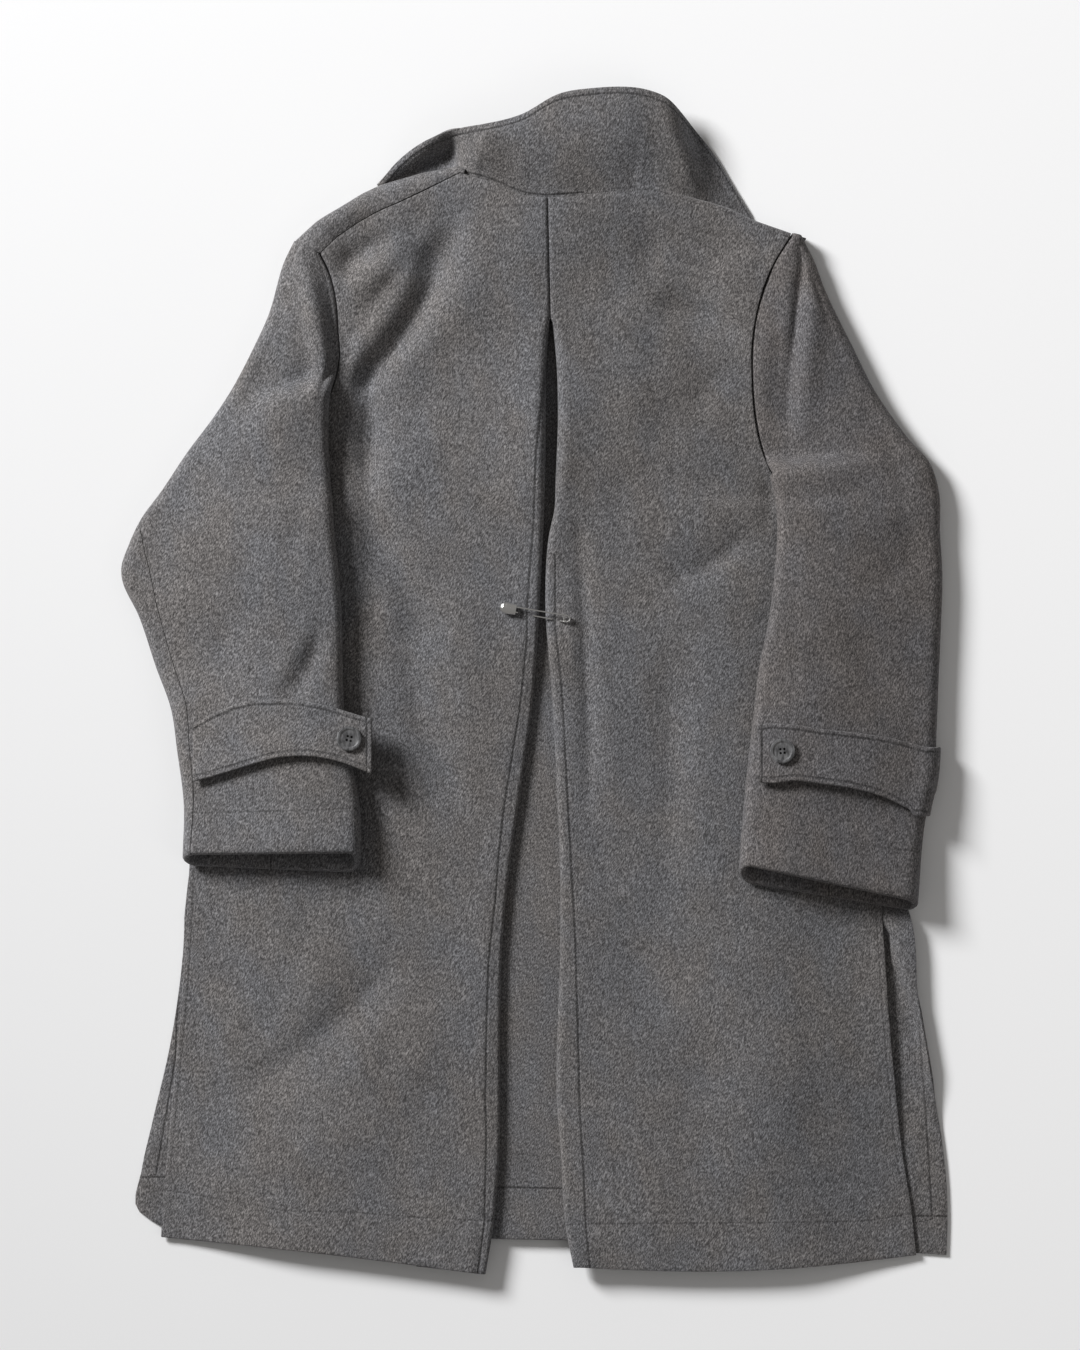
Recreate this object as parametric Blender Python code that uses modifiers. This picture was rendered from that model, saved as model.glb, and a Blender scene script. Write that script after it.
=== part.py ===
"""A knee-length wool coat that lies flat on its front, with its back up.

X runs to the right as the coat is seen from above, Y towards the collar and Z up from the surface that
it lies on. The tables are in millimetres. A row of a table is one section across a piece, and the
pieces are walls of cloth through smooth rows of those sections.
"""

import math
from collections import namedtuple

import bmesh
import bpy
import numpy as np
from mathutils import Matrix, Vector

MM = 0.001
CLOTH = 2.5
SEAM = 0.3
SEAT = CLOTH + SEAM
CORNER = CLOTH / math.cos(math.radians(22.5))
BEND_ANGLES = (45, 0, -45, -90)

# Coarseness of the grids, in rows and columns.
BACK_ROWS = 27
BACK_COLUMNS = 17
FRONT_ROWS = 18
FRONT_COLUMNS = 11
ARM_ROWS = 20
UNDERLAY_ROWS = 20
UNDERLAY_COLUMNS = 9
COLLAR_ROWS = 30
COLLAR_COLUMNS = 7
STRAP_COLUMNS = 9
STRAP_LINES = 5

# How high the back lies over the fronts: at its side seams it rests on them.
LOFT = 11.7
SIDE_FALL = 130
FOLD_FALL = 60
NECK_LIFT = 12.5
NECK_WIDTH = 125
NECK_MIDDLE = 14
NECK_FROM = 270
NECK_RUN = 160

# The inverted pleat: its turned edges, and the underlay behind them.
PLEAT_TOP = 322
CENTRE_SEAM_LOW = 14.4
CENTRE_SEAM_HIGH = 12.1
CENTRE_SEAM_END = 428
RETURN_DEPTH = 58
RETURN_TOP = 10
RETURN_FACE = 11.0
UNDERLAY_SEAT = 5.6
RETURN_ABOVE = 75
RETURN_RUN = 70
PLEAT_INSET = 6
ROLL_LIFT = 1.2
ROLL_WIDTH = 28
ROLL_ABOVE = 10
ROLL_RUN = 40
GAPE_LIFT = 8
GAPE_WIDTH = 42
GAPE_MIDDLE = 228
GAPE_LENGTH = 78
TIGHT_TURN = 1.7
TIGHT_BELOW = 22
TIGHT_RUN = 40
UNDERLAY_LOW = -493
UNDERLAY_HIGH = 374
UNDERLAY_MARGIN = 14
UNDERLAY_SLANT = 4
UNDERLAY_SLANT_RUN = 480

Section = namedtuple("Section", "side_x side_y fold_x fold_y lift rise bow")
BACK_LEFT = [
    Section(-331, -493, -42.9, -525, 0, 0, 2),
    Section(-329, -456, -36, -482, 0, 0, 1),
    Section(-325, -415, -31, -425, 0, 0, 0),
    Section(-320, -360, -30, -366, 0, 0, 0),
    Section(-315, -307, -30, -307, 0, 0, 0),
    Section(-309, -230, -28, -232, 0, 0, 0),
    Section(-306, -168, -22, -168, 0, 0, 0),
    Section(-300, -90, -11, -90, 0, 0, 0),
    Section(-293, 0, 0.5, 0, 0, 0, 0),
    Section(-286, 80, 5.5, 80, 0, 0, 0),
    Section(-281, 152, 9, 152, 0, 0, 0),
    Section(-240, 178, 10, 192, 0.3, 0, 0),
    Section(-210, 208, 10.5, 225, 1, 0, 0),
    Section(-190, 236, 10.5, 255, 3, 0.02, 0),
    Section(-178, 262, 11, 283, 6.5, 0.05, 0),
    Section(-172, 285, 12.6, 306, 9.5, 0.12, 0),
    Section(-173, 310, 14.4, 330, 11.5, 0.25, 0),
    Section(-175, 338, 13.6, 362, 12.5, 0.45, 0),
    Section(-181, 362, 12.8, 396, 13, 0.75, 0),
    Section(-189, 379, 12, 428, 13, 1, 0),
]
BACK_RIGHT = [
    Section(339, -509, 35, -519, 0, 0, -8),
    Section(335, -470, 27.5, -480, 0, 0, -5),
    Section(327, -419, 24, -422, 0, 0, -2),
    Section(321, -365, 20, -366, 2, 0, 0),
    Section(315, -300, 21, -300, 4, 0, 0),
    Section(311, -240, 23, -240, 3, 0, 0),
    Section(306, -170, 23, -170, 0, 0, 0),
    Section(299, -90, 20, -90, 0, 0, 0),
    Section(291, 0, 15, 0, 0, 0, 0),
    Section(284, 67, 10, 70, 0, 0, 0),
    Section(276, 122, 13, 128, 0, 0, 0),
    Section(272, 150, 18, 152, 0, 0, 0),
    Section(240, 162, 19, 176, 0.3, 0, 0),
    Section(216, 178, 20, 200, 1.5, 0, 0),
    Section(203, 202, 21, 226, 4, 0.02, 0),
    Section(196, 230, 21, 252, 7, 0.05, 0),
    Section(193, 265, 20, 280, 10, 0.12, 0),
    Section(193, 300, 17.5, 308, 12, 0.25, 0),
    Section(199, 335, 14, 342, 12.5, 0.45, 0),
    Section(210, 366, 13, 384, 13, 0.75, 0),
    Section(226, 393, 12.2, 428, 13, 1, 0),
]

# How far the shoulder and neck seam of each half stands above the straight line between its two ends.
Seam = namedtuple("Seam", "share rise")
TOP_LEFT = [
    Seam(0, 0), Seam(0.08, 12), Seam(0.164, 19), Seam(0.249, 24), Seam(0.343, 27), Seam(0.5, 34),
    Seam(0.63, 40), Seam(0.706, 32), Seam(0.78, 24), Seam(0.846, 14.5), Seam(0.91, 6.4), Seam(1, 0),
]
TOP_RIGHT = [
    Seam(0, 0), Seam(0.159, 6), Seam(0.257, 12.8), Seam(0.355, 15.6), Seam(0.439, 17),
    Seam(0.514, 20.5), Seam(0.589, 22), Seam(0.673, 16.5), Seam(0.748, 14), Seam(0.86, 7.5),
    Seam(0.93, 3), Seam(1, 0),
]

# The largest soft folds of the back and then of the sleeves: a depth under zero is a trough.
Fold = namedtuple("Fold", "from_x from_y to_x to_y half_width depth")
FOLDS = [
    Fold(-88, 412, -98, 376, 17, -7),
    Fold(-98, 376, -150, 305, 17, -7),
    Fold(-125, 385, -160, 345, 16, 3),
    Fold(-60, 330, -120, 270, 26, 2.5),
    Fold(-150, 150, -100, 55, 22, -2.6),
    Fold(-112, 38, -78, -85, 22, -2.4),
    Fold(-70, 60, -52, -60, 24, 2),
    Fold(-135, -269, -225, -345, 30, -2.8),
    Fold(-95, -330, -180, -420, 34, 2.5),
    Fold(100, 385, 150, 372, 26, -3),
    Fold(125, 337, 175, 306, 22, -4),
    Fold(150, 262, 120, 225, 26, -2.5),
    Fold(90, 300, 80, 210, 30, 2.5),
    Fold(180, 122, 130, 96, 20, -3),
    Fold(118, -20, 112, -260, 34, -2.4),
    Fold(190, -250, 200, -420, 38, 2.5),
]
SLEEVE_FOLDS = [
    Fold(-206, 377, -184, 282, 8, 4),
    Fold(-191, 370, -176, 296, 6, -3),
    Fold(-184, 46, -212, 4, 13, -4),
    Fold(232, 384, 219, 240, 7, -4),
    Fold(244, 384, 232, 232, 8, 4),
]

Front = namedtuple("Front", "side_x side_y centre_x centre_y")
OVERLAP_EDGE = 150
OVERLAP_RUN = 60
FRONT_LEFT = [
    Front(-334, -482, 45, -485),
    Front(-351, -470, 45, -470),
    Front(-348, -432, 45, -432),
    Front(-339, -392, 45, -392),
    Front(-322, -317, 45, -317),
    Front(-312, -245, 45, -245),
    Front(-309, -195, 45, -195),
    Front(-305, -160, 45, -160),
    Front(-293, 0, 45, 0),
    Front(-281, 150, 45, 160),
    Front(-240, 177, 45, 200),
    Front(-210, 207, 45, 235),
    Front(-190, 235, 45, 268),
    Front(-178, 261, 45, 300),
    Front(-172, 284, 44, 338),
    Front(-173, 310, 34, 376),
    Front(-175, 338, 0, 388),
    Front(-181, 362, -38, 408),
]
FRONT_RIGHT = [
    Front(366, -509, -28, -484),
    Front(367, -478, -28, -466),
    Front(362, -407, -28, -403),
    Front(354, -362, -28, -360),
    Front(341, -287, -28, -287),
    Front(333, -205, -28, -205),
    Front(318, -168, -28, -168),
    Front(304, -145, -28, -145),
    Front(291, 0, -28, 0),
    Front(276, 120, -28, 120),
    Front(271, 149, -28, 160),
    Front(240, 161, -28, 192),
    Front(216, 177, -28, 225),
    Front(203, 201, -28, 260),
    Front(196, 230, -27, 295),
    Front(193, 265, -22, 335),
    Front(193, 300, -4, 372),
    Front(199, 335, 28, 390),
    Front(210, 366, 66, 406),
]

# The front's cloth turned over the shoulder: bulge is how far it stands out past the shoulder seam,
# and heading is the direction in degrees in which it does.
Wrap = namedtuple("Wrap", "share bulge heading")
WRAP_LEFT = [Wrap(0, 25, 156), Wrap(0.25, 20, 134), Wrap(0.5, 21, 118), Wrap(0.75, 15, 110), Wrap(1, 5, 106)]
WRAP_RIGHT = [Wrap(0, 4, 60), Wrap(0.5, 4, 70), Wrap(1, 4, 84)]

# How the front's cloth rounds the shoulder: its share of the bulge and of the seam's height.
Turn = namedtuple("Turn", "out height")
SHOULDER_TURN = [
    Turn(-0.45, 0), Turn(0.1, 0), Turn(0.55, 0), Turn(0.86, 0.15), Turn(1, 0.48), Turn(0.88, 0.84),
    Turn(0.5, 1), Turn(0, 1),
]
NECK_POINT_LEFT = 0.625
NECK_POINT_RIGHT = 0.625

# A sleeve's sections from its head to its cuff: the outer and inner edge as seen from above, the
# radius of its rolled edges, how much its top is crowned, how far the seam between its back and its
# front lies in from the outer edge, and how far its underside has closed, from 0 at the armhole.
Arm = namedtuple("Arm", "out_x out_y in_x in_y roll crown seam closed")
ARM_LEFT = [
    Arm(-214.3, 387.2, -190, 377.2, 5.6, 0, 0, 0),
    Arm(-222, 371, -181.5, 360.5, 6, 1, 0, 0),
    Arm(-235, 325, -175.4, 338, 6.5, 3, 0, 0),
    Arm(-248, 296, -173.4, 311, 7, 4, 0, 0),
    Arm(-266, 261, -172.6, 285, 7, 5, 0, 0),
    Arm(-284, 233, -180, 256, 7, 5, 0, 1),
    Arm(-308, 201, -182, 224, 7.5, 5, 0, 1),
    Arm(-330, 168, -181, 190, 7.5, 5, 0, 1),
    Arm(-349, 142, -178, 156, 7.5, 5, 3, 1),
    Arm(-359.5, 120, -176, 128, 7.5, 5, 14, 1),
    Arm(-366, 98.5, -173, 101, 7.5, 5, 26, 1),
    Arm(-365, 90, -172, 90, 7.5, 5, 27, 1),
    Arm(-351, 60, -170, 60, 7.5, 5, 20, 1),
    Arm(-335, 13, -169, 13, 7.5, 5, 17, 1),
    Arm(-322, -22, -168, -20, 8, 4, 15, 1),
    Arm(-316, -60, -163, -60, 8.5, 4, 12, 1),
    Arm(-310, -105, -154, -104, 9, 4, 10, 1),
    Arm(-311, -150, -153, -148, 10, 4, 9, 1),
]
ARM_RIGHT = [
    Arm(239, 390.5, 226.6, 393.5, 2.5, 0, 0, 0),
    Arm(249, 371, 214, 374, 6, 1, 0, 0),
    Arm(257, 349, 205.6, 352, 6.5, 2, 0, 0),
    Arm(269, 323, 197, 325, 7, 4, 0, 0),
    Arm(282, 297, 193.6, 300, 7, 5, 0, 0),
    Arm(304, 254, 194.4, 250, 7, 5, 0, 0),
    Arm(316, 236, 197.6, 227, 7, 5, 0, 0),
    Arm(334, 212, 203.4, 203, 7.5, 5, 0, 0),
    Arm(351, 193, 208.5, 183, 7.5, 5, 0, 1),
    Arm(359, 168, 213, 162, 7.5, 5, 0, 1),
    Arm(360, 132, 215, 136, 7.5, 5, 0, 1),
    Arm(362, 95, 213, 100, 7.5, 5, 0, 1),
    Arm(361, 55, 208, 58, 7.5, 5, 0, 1),
    Arm(359, 10, 199, 12, 7.5, 5, 0, 1),
    Arm(357, -40, 193, -38, 8, 4, 0, 1),
    Arm(355, -81, 188, -80, 8.5, 4, 0, 1),
    Arm(346, -125, 184, -118, 9, 4, 0, 1),
    Arm(340, -192, 181, -158, 10, 4, 0, 1),
]
UNDERARM_LEFT = 152
UNDERARM_RIGHT = 150
LIP_LEFT = 17
LIP_RIGHT = 10
LIP_ROWS = 3
LIP_FROM = 3
LIP_RUN = 12
SLEEVE_CLEARANCE = 1.9
ARMHOLE_GAP = 0.9
UNDER_GAP = 0.8
UNDER_TURN = 9
UNDER_SEAM_RUN = 250
UNDERARM_SHIFT = 20
UNDERARM_RETREAT = 20
UNDERARM_REACH = 60
HEAD_WIDTH = 45
HEAD_RUN = 35
RAMP_START = 9
RAMP_END = 40
SEAM_BAND = 2

Strap = namedtuple("Strap", "x top_y bottom_y")
STRAP_LEFT = [
    Strap(-301, -38, -89), Strap(-276, -25, -82), Strap(-250, -17, -74), Strap(-228, -16, -68),
    Strap(-204, -17, -66), Strap(-180, -22, -69), Strap(-160, -28, -75), Strap(-143, -33, -82),
]
STRAP_RIGHT = [
    Strap(197, -38, -89), Strap(210, -37, -90), Strap(228, -38, -88), Strap(255, -42, -91),
    Strap(282, -45, -95), Strap(310, -49, -103), Strap(331, -54, -113),
]
STRAP_WRAP = (58, 119)
WRAP_ANGLES = (90, 60, 30, 0)
WRAP_SEAT = 1.3
STRAP_THICK = 3
STRAP_SEAT = 0.6
STRAP_RISE = 4.5
BUTTON_LEFT = (-163, -51)
BUTTON_RIGHT = (219, -62)
BUTTON_RADIUS = 11
BUTTON_THICK = 3.6
BUTTON_DISH = 2.5
BUTTON_RIM = 2.2
BUTTON_FOOT = 1.4
BUTTON_EDGE = 0.8
BUTTON_SLOPE = 1.3
BUTTON_STEPS = 24
SEAT_SPAN = 6
BUTTON_SEAT = 0.7
BUTTON_HOLE = 1.1
BUTTON_HOLE_OUT = 2.5

# The collar stands up: sections from its left tip over the neck to its right tip. Between its two ends
# its seam joins the back's neck edge.
NECK_LEFT = -50
NECK_RIGHT = 92
COLLAR_LEFT = -60
COLLAR_RIGHT = 100
COLLAR_EASE = 14
Band = namedtuple("Band", "edge_x edge_y edge_z seam_x seam_y seam_z puff")
COLLAR = [
    Band(-139, 440, 4, -131, 438.5, 2.5, 0.5),
    Band(-122, 460, 12, -114, 447, 3, 0),
    Band(-101, 476, 20, -96, 454, 2.5, -4),
    Band(-86, 483, 25, -84, 459.5, 2.5, -7),
    Band(-74, 487, 28, -74, 461, 4, -7),
    Band(-60, 490, 31, -64, 456.5, 20, 1),
    Band(-47, 492, 33, -53, 449.5, 25, 4),
    Band(-11, 501, 34, -19, 436.4, 27, 6),
    Band(22, 519, 34, 12, 429, 27, 6),
    Band(51, 524, 34, 42, 432.2, 26, 6),
    Band(94, 524, 33, 80, 436, 25, 5),
    Band(109, 520, 31, 99, 442.5, 24, 4),
    Band(120, 514, 28, 122, 436.5, 22, 3),
    Band(131, 503, 19, 141, 431.5, 18, 2),
    Band(141, 491, 11, 155, 426.8, 11, 1),
    Band(159, 468, 5, 171.5, 421.6, 6, 0.5),
    Band(180, 434, 2.5, 185.5, 416, 3, 0.5),
    Band(191, 416, 2.5, 192.8, 411.6, 2.5, 0),
]

# The closed pin: its needle goes through the left fold, over the gap and through the right fold.
WIRE = 0.65
PIN_HOLE = 1.0
Point = namedtuple("Point", "x y z")
NEEDLE = [
    Point(-25, 63, 20.9), Point(-14.5, 61, 20.6), Point(-11, 60.3, 13.6), Point(-4.5, 59, 13.6),
    Point(-0.4, 58.2, 19.5), Point(15.8, 55.2, 19.5), Point(18.5, 54.6, 13.6), Point(20.5, 54.2, 13.6),
    Point(23.5, 53.6, 19.8), Point(27, 52.9, 20.6),
]
PIN_COIL = Point(29, 55.6, 21)
COIL_RADIUS = 2.7
COIL_RISE = 2.2
COIL_START = -112
COIL_STEP = 30
COIL_STEPS = 18
BAR_END = Point(-26, 67.6, 22.6)
CLASP_BACK = Point(-29.7, 66, 21.6)
CLASP_LENGTH = 14
CLASP_HALF = 4.6
CLASP_HIGH = 2.4
SHEET = 0.5
CLASP_SPAN = (-68, 248)
Hoop = namedtuple("Hoop", "share size")
CLASP = [Hoop(0, 0.3), Hoop(0.06, 0.62), Hoop(0.18, 0.86), Hoop(0.4, 1), Hoop(0.7, 0.94), Hoop(1, 0.9)]

WOOL = (0.125, 0.118, 0.118)
HORN = (0.03, 0.028, 0.027)
STEEL = (0.62, 0.6, 0.57)


def clear_scene():
    for old in list(bpy.data.objects):
        bpy.data.objects.remove(old, do_unlink=True)


def finish(name, colour, roughness, metallic=0.0):
    """A plain material in the piece's own colour."""
    material = bpy.data.materials.new(name)
    material.use_nodes = True
    shader = material.node_tree.nodes["Principled BSDF"]
    shader.inputs["Base Color"].default_value = (*colour, 1.0)
    shader.inputs["Roughness"].default_value = roughness
    shader.inputs["Metallic"].default_value = metallic
    return material


def smooth(share):
    """0 to 1 with soft ends."""
    share = np.clip(share, 0, 1)
    return share * share * (3 - 2 * share)


def through(rows, count):
    """The given number of rows, evenly spaced along a smooth curve through a table's rows."""
    rows = np.array(rows, float)
    steps = np.sqrt((np.diff(rows[:, :4], axis=0) ** 2).sum(axis=1))
    at = np.concatenate([[0], np.cumsum(steps)])
    slopes = np.gradient(rows, at, axis=0)
    wanted = np.linspace(0, at[-1], count)
    i = np.clip(np.searchsorted(at, wanted, side="right") - 1, 0, len(at) - 2)
    span = at[i + 1] - at[i]
    t = ((wanted - at[i]) / span)[:, None]
    span = span[:, None]
    return (
        (2 * t**3 - 3 * t**2 + 1) * rows[i]
        + (t**3 - 2 * t**2 + t) * span * slopes[i]
        + (3 * t**2 - 2 * t**3) * rows[i + 1]
        + (t**3 - t**2) * span * slopes[i + 1]
    )


def column(table, name, share):
    """A named column of a table against its share column."""
    return np.interp(share, [row.share for row in table], [getattr(row, name) for row in table])


class Half:
    """One half of the body, left or right as seen from above."""

    def __init__(self, sections, top, fronts, wrap, neck_point, turned):
        self.sections = sections
        self.top = top
        self.fronts = fronts
        self.wrap = wrap
        self.neck_point = neck_point
        self.turned = turned  # +1 where the fold lies on the +X side of the panel
        self.fine = through(sections, 240)

    def edge(self, y, name):
        """A named column of the half's sections where its side is at y."""
        along = Section._fields.index("fold_y" if name == "fold_x" else "side_y")
        return np.interp(y, self.fine[:, along], self.fine[:, Section._fields.index(name)])

    def lie(self, x, y):
        """Height of the back's underside."""
        inward = (x - self.edge(y, "side_x")) * self.turned
        away = (self.edge(y, "fold_x") - x) * self.turned
        body = smooth(inward / SIDE_FALL)
        z = SEAT + self.edge(y, "lift") * (1 - body) + LOFT * body
        beside_neck = np.exp(-(((x - NECK_MIDDLE) / NECK_WIDTH) ** 2))
        z = z + NECK_LIFT * smooth((y - NECK_FROM) / NECK_RUN) * beside_neck
        under_seam = smooth((PLEAT_TOP + ROLL_ABOVE - y) / ROLL_RUN)
        z = z + ROLL_LIFT * np.exp(-((away / ROLL_WIDTH) ** 2)) * under_seam
        z = z + GAPE_LIFT * np.exp(-((away / GAPE_WIDTH) ** 2) - ((y - GAPE_MIDDLE) / GAPE_LENGTH) ** 2)
        for fold in FOLDS:
            reach = smooth(inward / FOLD_FALL)
            z = z + fold.depth * np.exp(-((off_line(fold, x, y) / fold.half_width) ** 2)) * reach
        return z

    def turn(self, y, z):
        """The inside radius of the pleat's turned edge."""
        open_turn = (z - RETURN_FACE) / 2
        closed = smooth((y - PLEAT_TOP + TIGHT_BELOW) / TIGHT_RUN)
        return open_turn * (1 - closed) + TIGHT_TURN * closed

    def row(self, section, columns):
        """One row of the back's underside, from its side to the inner edge of the turned-under cloth."""
        side_x, side_y, fold_x, fold_y, _, rise, bow = section
        turned = self.turned
        if fold_y > PLEAT_TOP:
            fold_x = self.centre_seam(fold_y)
        edge_z = float(self.lie(fold_x - PLEAT_INSET * turned, fold_y))
        radius = float(self.turn(fold_y, edge_z))
        edge_x = fold_x - turned * (radius + CORNER)
        share = np.linspace(0, 1, columns)
        x = side_x + (edge_x - side_x) * share
        y = side_y + (fold_y - side_y) * share
        y = y + rise * column(self.top, "rise", share) + bow * np.sin(math.pi * share)
        top = [(a, b, float(self.lie(a, b))) for a, b in zip(x, y)]
        top[-1] = (edge_x, fold_y, edge_z)
        bend = [
            (edge_x + turned * radius * math.cos(a), fold_y, edge_z - radius + radius * math.sin(a))
            for a in np.radians(BEND_ANGLES)
        ]
        opened = float(smooth((PLEAT_TOP + RETURN_ABOVE - fold_y) / RETURN_RUN))
        depth = RETURN_TOP + (RETURN_DEPTH - RETURN_TOP) * opened
        slope = (side_y - fold_y) / abs(edge_x - side_x)
        under = [
            (edge_x - turned * depth * t, fold_y + slope * depth * t, edge_z - 2 * radius)
            for t in (0.5, 1)
        ]
        return top + bend + under

    def centre_seam(self, y):
        """The half's edge at the centre back seam, above the pleat."""
        share = (y - PLEAT_TOP) / (CENTRE_SEAM_END - PLEAT_TOP)
        middle = CENTRE_SEAM_LOW + (CENTRE_SEAM_HIGH - CENTRE_SEAM_LOW) * share
        return middle - self.turned * SEAM / 2

    def shoulder(self, share):
        """A point on the back's top seam."""
        side_x, side_y, _, fold_y = self.sections[-1][:4]
        fold_x = self.centre_seam(fold_y) - self.turned * (TIGHT_TURN + CORNER)
        x = side_x + (fold_x - side_x) * share
        y = side_y + (fold_y - side_y) * share + column(self.top, "rise", share)
        return x, y, float(self.lie(x, y))

    def wrap_row(self, out, height, columns):
        """A row of the front's cloth turned over the shoulder, out past the seam by a share of its bulge."""
        row = []
        for share in np.linspace(0, 1, columns):
            x, y, seam_z = self.shoulder(share * self.neck_point)
            heading = math.radians(column(self.wrap, "heading", share))
            reach = out * (column(self.wrap, "bulge", share) - CLOTH) + 2 * SEAM
            z = CLOTH + (seam_z - CLOTH) * height
            row.append((x + reach * math.cos(heading), y + reach * math.sin(heading), z))
        return row


def off_line(fold, x, y):
    """Distance from a fold's line in plan."""
    run_x, run_y = fold.to_x - fold.from_x, fold.to_y - fold.from_y
    along = np.clip(((x - fold.from_x) * run_x + (y - fold.from_y) * run_y) / (run_x**2 + run_y**2), 0, 1)
    return np.hypot(x - fold.from_x - along * run_x, y - fold.from_y - along * run_y)


def grid_mesh(name, rows, flip):
    """A sheet of quads through rows of points, in metres."""
    mesh = bmesh.new()
    grid = [[mesh.verts.new(Vector(p) * MM) for p in row] for row in rows]
    for lower, upper in zip(grid, grid[1:]):
        for i in range(len(lower) - 1):
            corners = [lower[i], lower[i + 1], upper[i + 1], upper[i]]
            mesh.faces.new(corners[::-1] if flip else corners)
    data = bpy.data.meshes.new(name)
    mesh.to_mesh(data)
    mesh.free()
    data.shade_smooth()
    return data


def wall(name, rows, group, material, flip=False, thick=CLOTH):
    """A piece of cloth: a sheet thickened on the side that its faces point to."""
    piece = bpy.data.objects.new(name, grid_mesh(name, rows, flip))
    piece.data.materials.append(material)
    group.objects.link(piece)
    solid = piece.modifiers.new("cloth", "SOLIDIFY")
    solid.thickness = thick * MM
    solid.offset = 1.0
    solid.use_even_offset = True
    solid.use_quality_normals = True
    return piece


def back(half, name, group, material):
    rows = [half.row(section, BACK_COLUMNS) for section in through(half.sections, BACK_ROWS)]
    return wall(name, rows, group, material, flip=half.turned < 0)


def front(half, name, overlap, group, material):
    """A front panel: flat on the floor, then turned up over the shoulder to the back's seam."""
    rows = []
    for side_x, side_y, centre_x, centre_y in through(half.fronts, FRONT_ROWS):
        row = []
        for share in np.linspace(0, 1, FRONT_COLUMNS):
            x = side_x + (centre_x - side_x) * share
            y = side_y + (centre_y - side_y) * share
            row.append((x, y, CLOTH + overlap * SEAT * float(smooth((OVERLAP_EDGE - x) / OVERLAP_RUN))))
        rows.append(row)
    for turn in SHOULDER_TURN:
        rows.append(half.wrap_row(turn.out, turn.height, FRONT_COLUMNS))
    wall(name, rows, group, material, flip=half.turned > 0)


def underlay(left, right, group, material):
    """The strip behind the pleat, under the two turned edges."""
    rows = []
    for y in np.linspace(UNDERLAY_LOW, UNDERLAY_HIGH, UNDERLAY_ROWS):
        low_x = float(left.edge(y, "fold_x")) - RETURN_DEPTH - UNDERLAY_MARGIN
        high_x = float(right.edge(y, "fold_x")) + RETURN_DEPTH + UNDERLAY_MARGIN
        slant = UNDERLAY_SLANT * float(smooth(-y / UNDERLAY_SLANT_RUN))
        row = []
        for share in np.linspace(0, 1, UNDERLAY_COLUMNS):
            row.append((low_x + (high_x - low_x) * share, y - slant * share, UNDERLAY_SEAT))
        rows.append(row)
    wall("pleat_underlay", rows, group, material)


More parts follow.
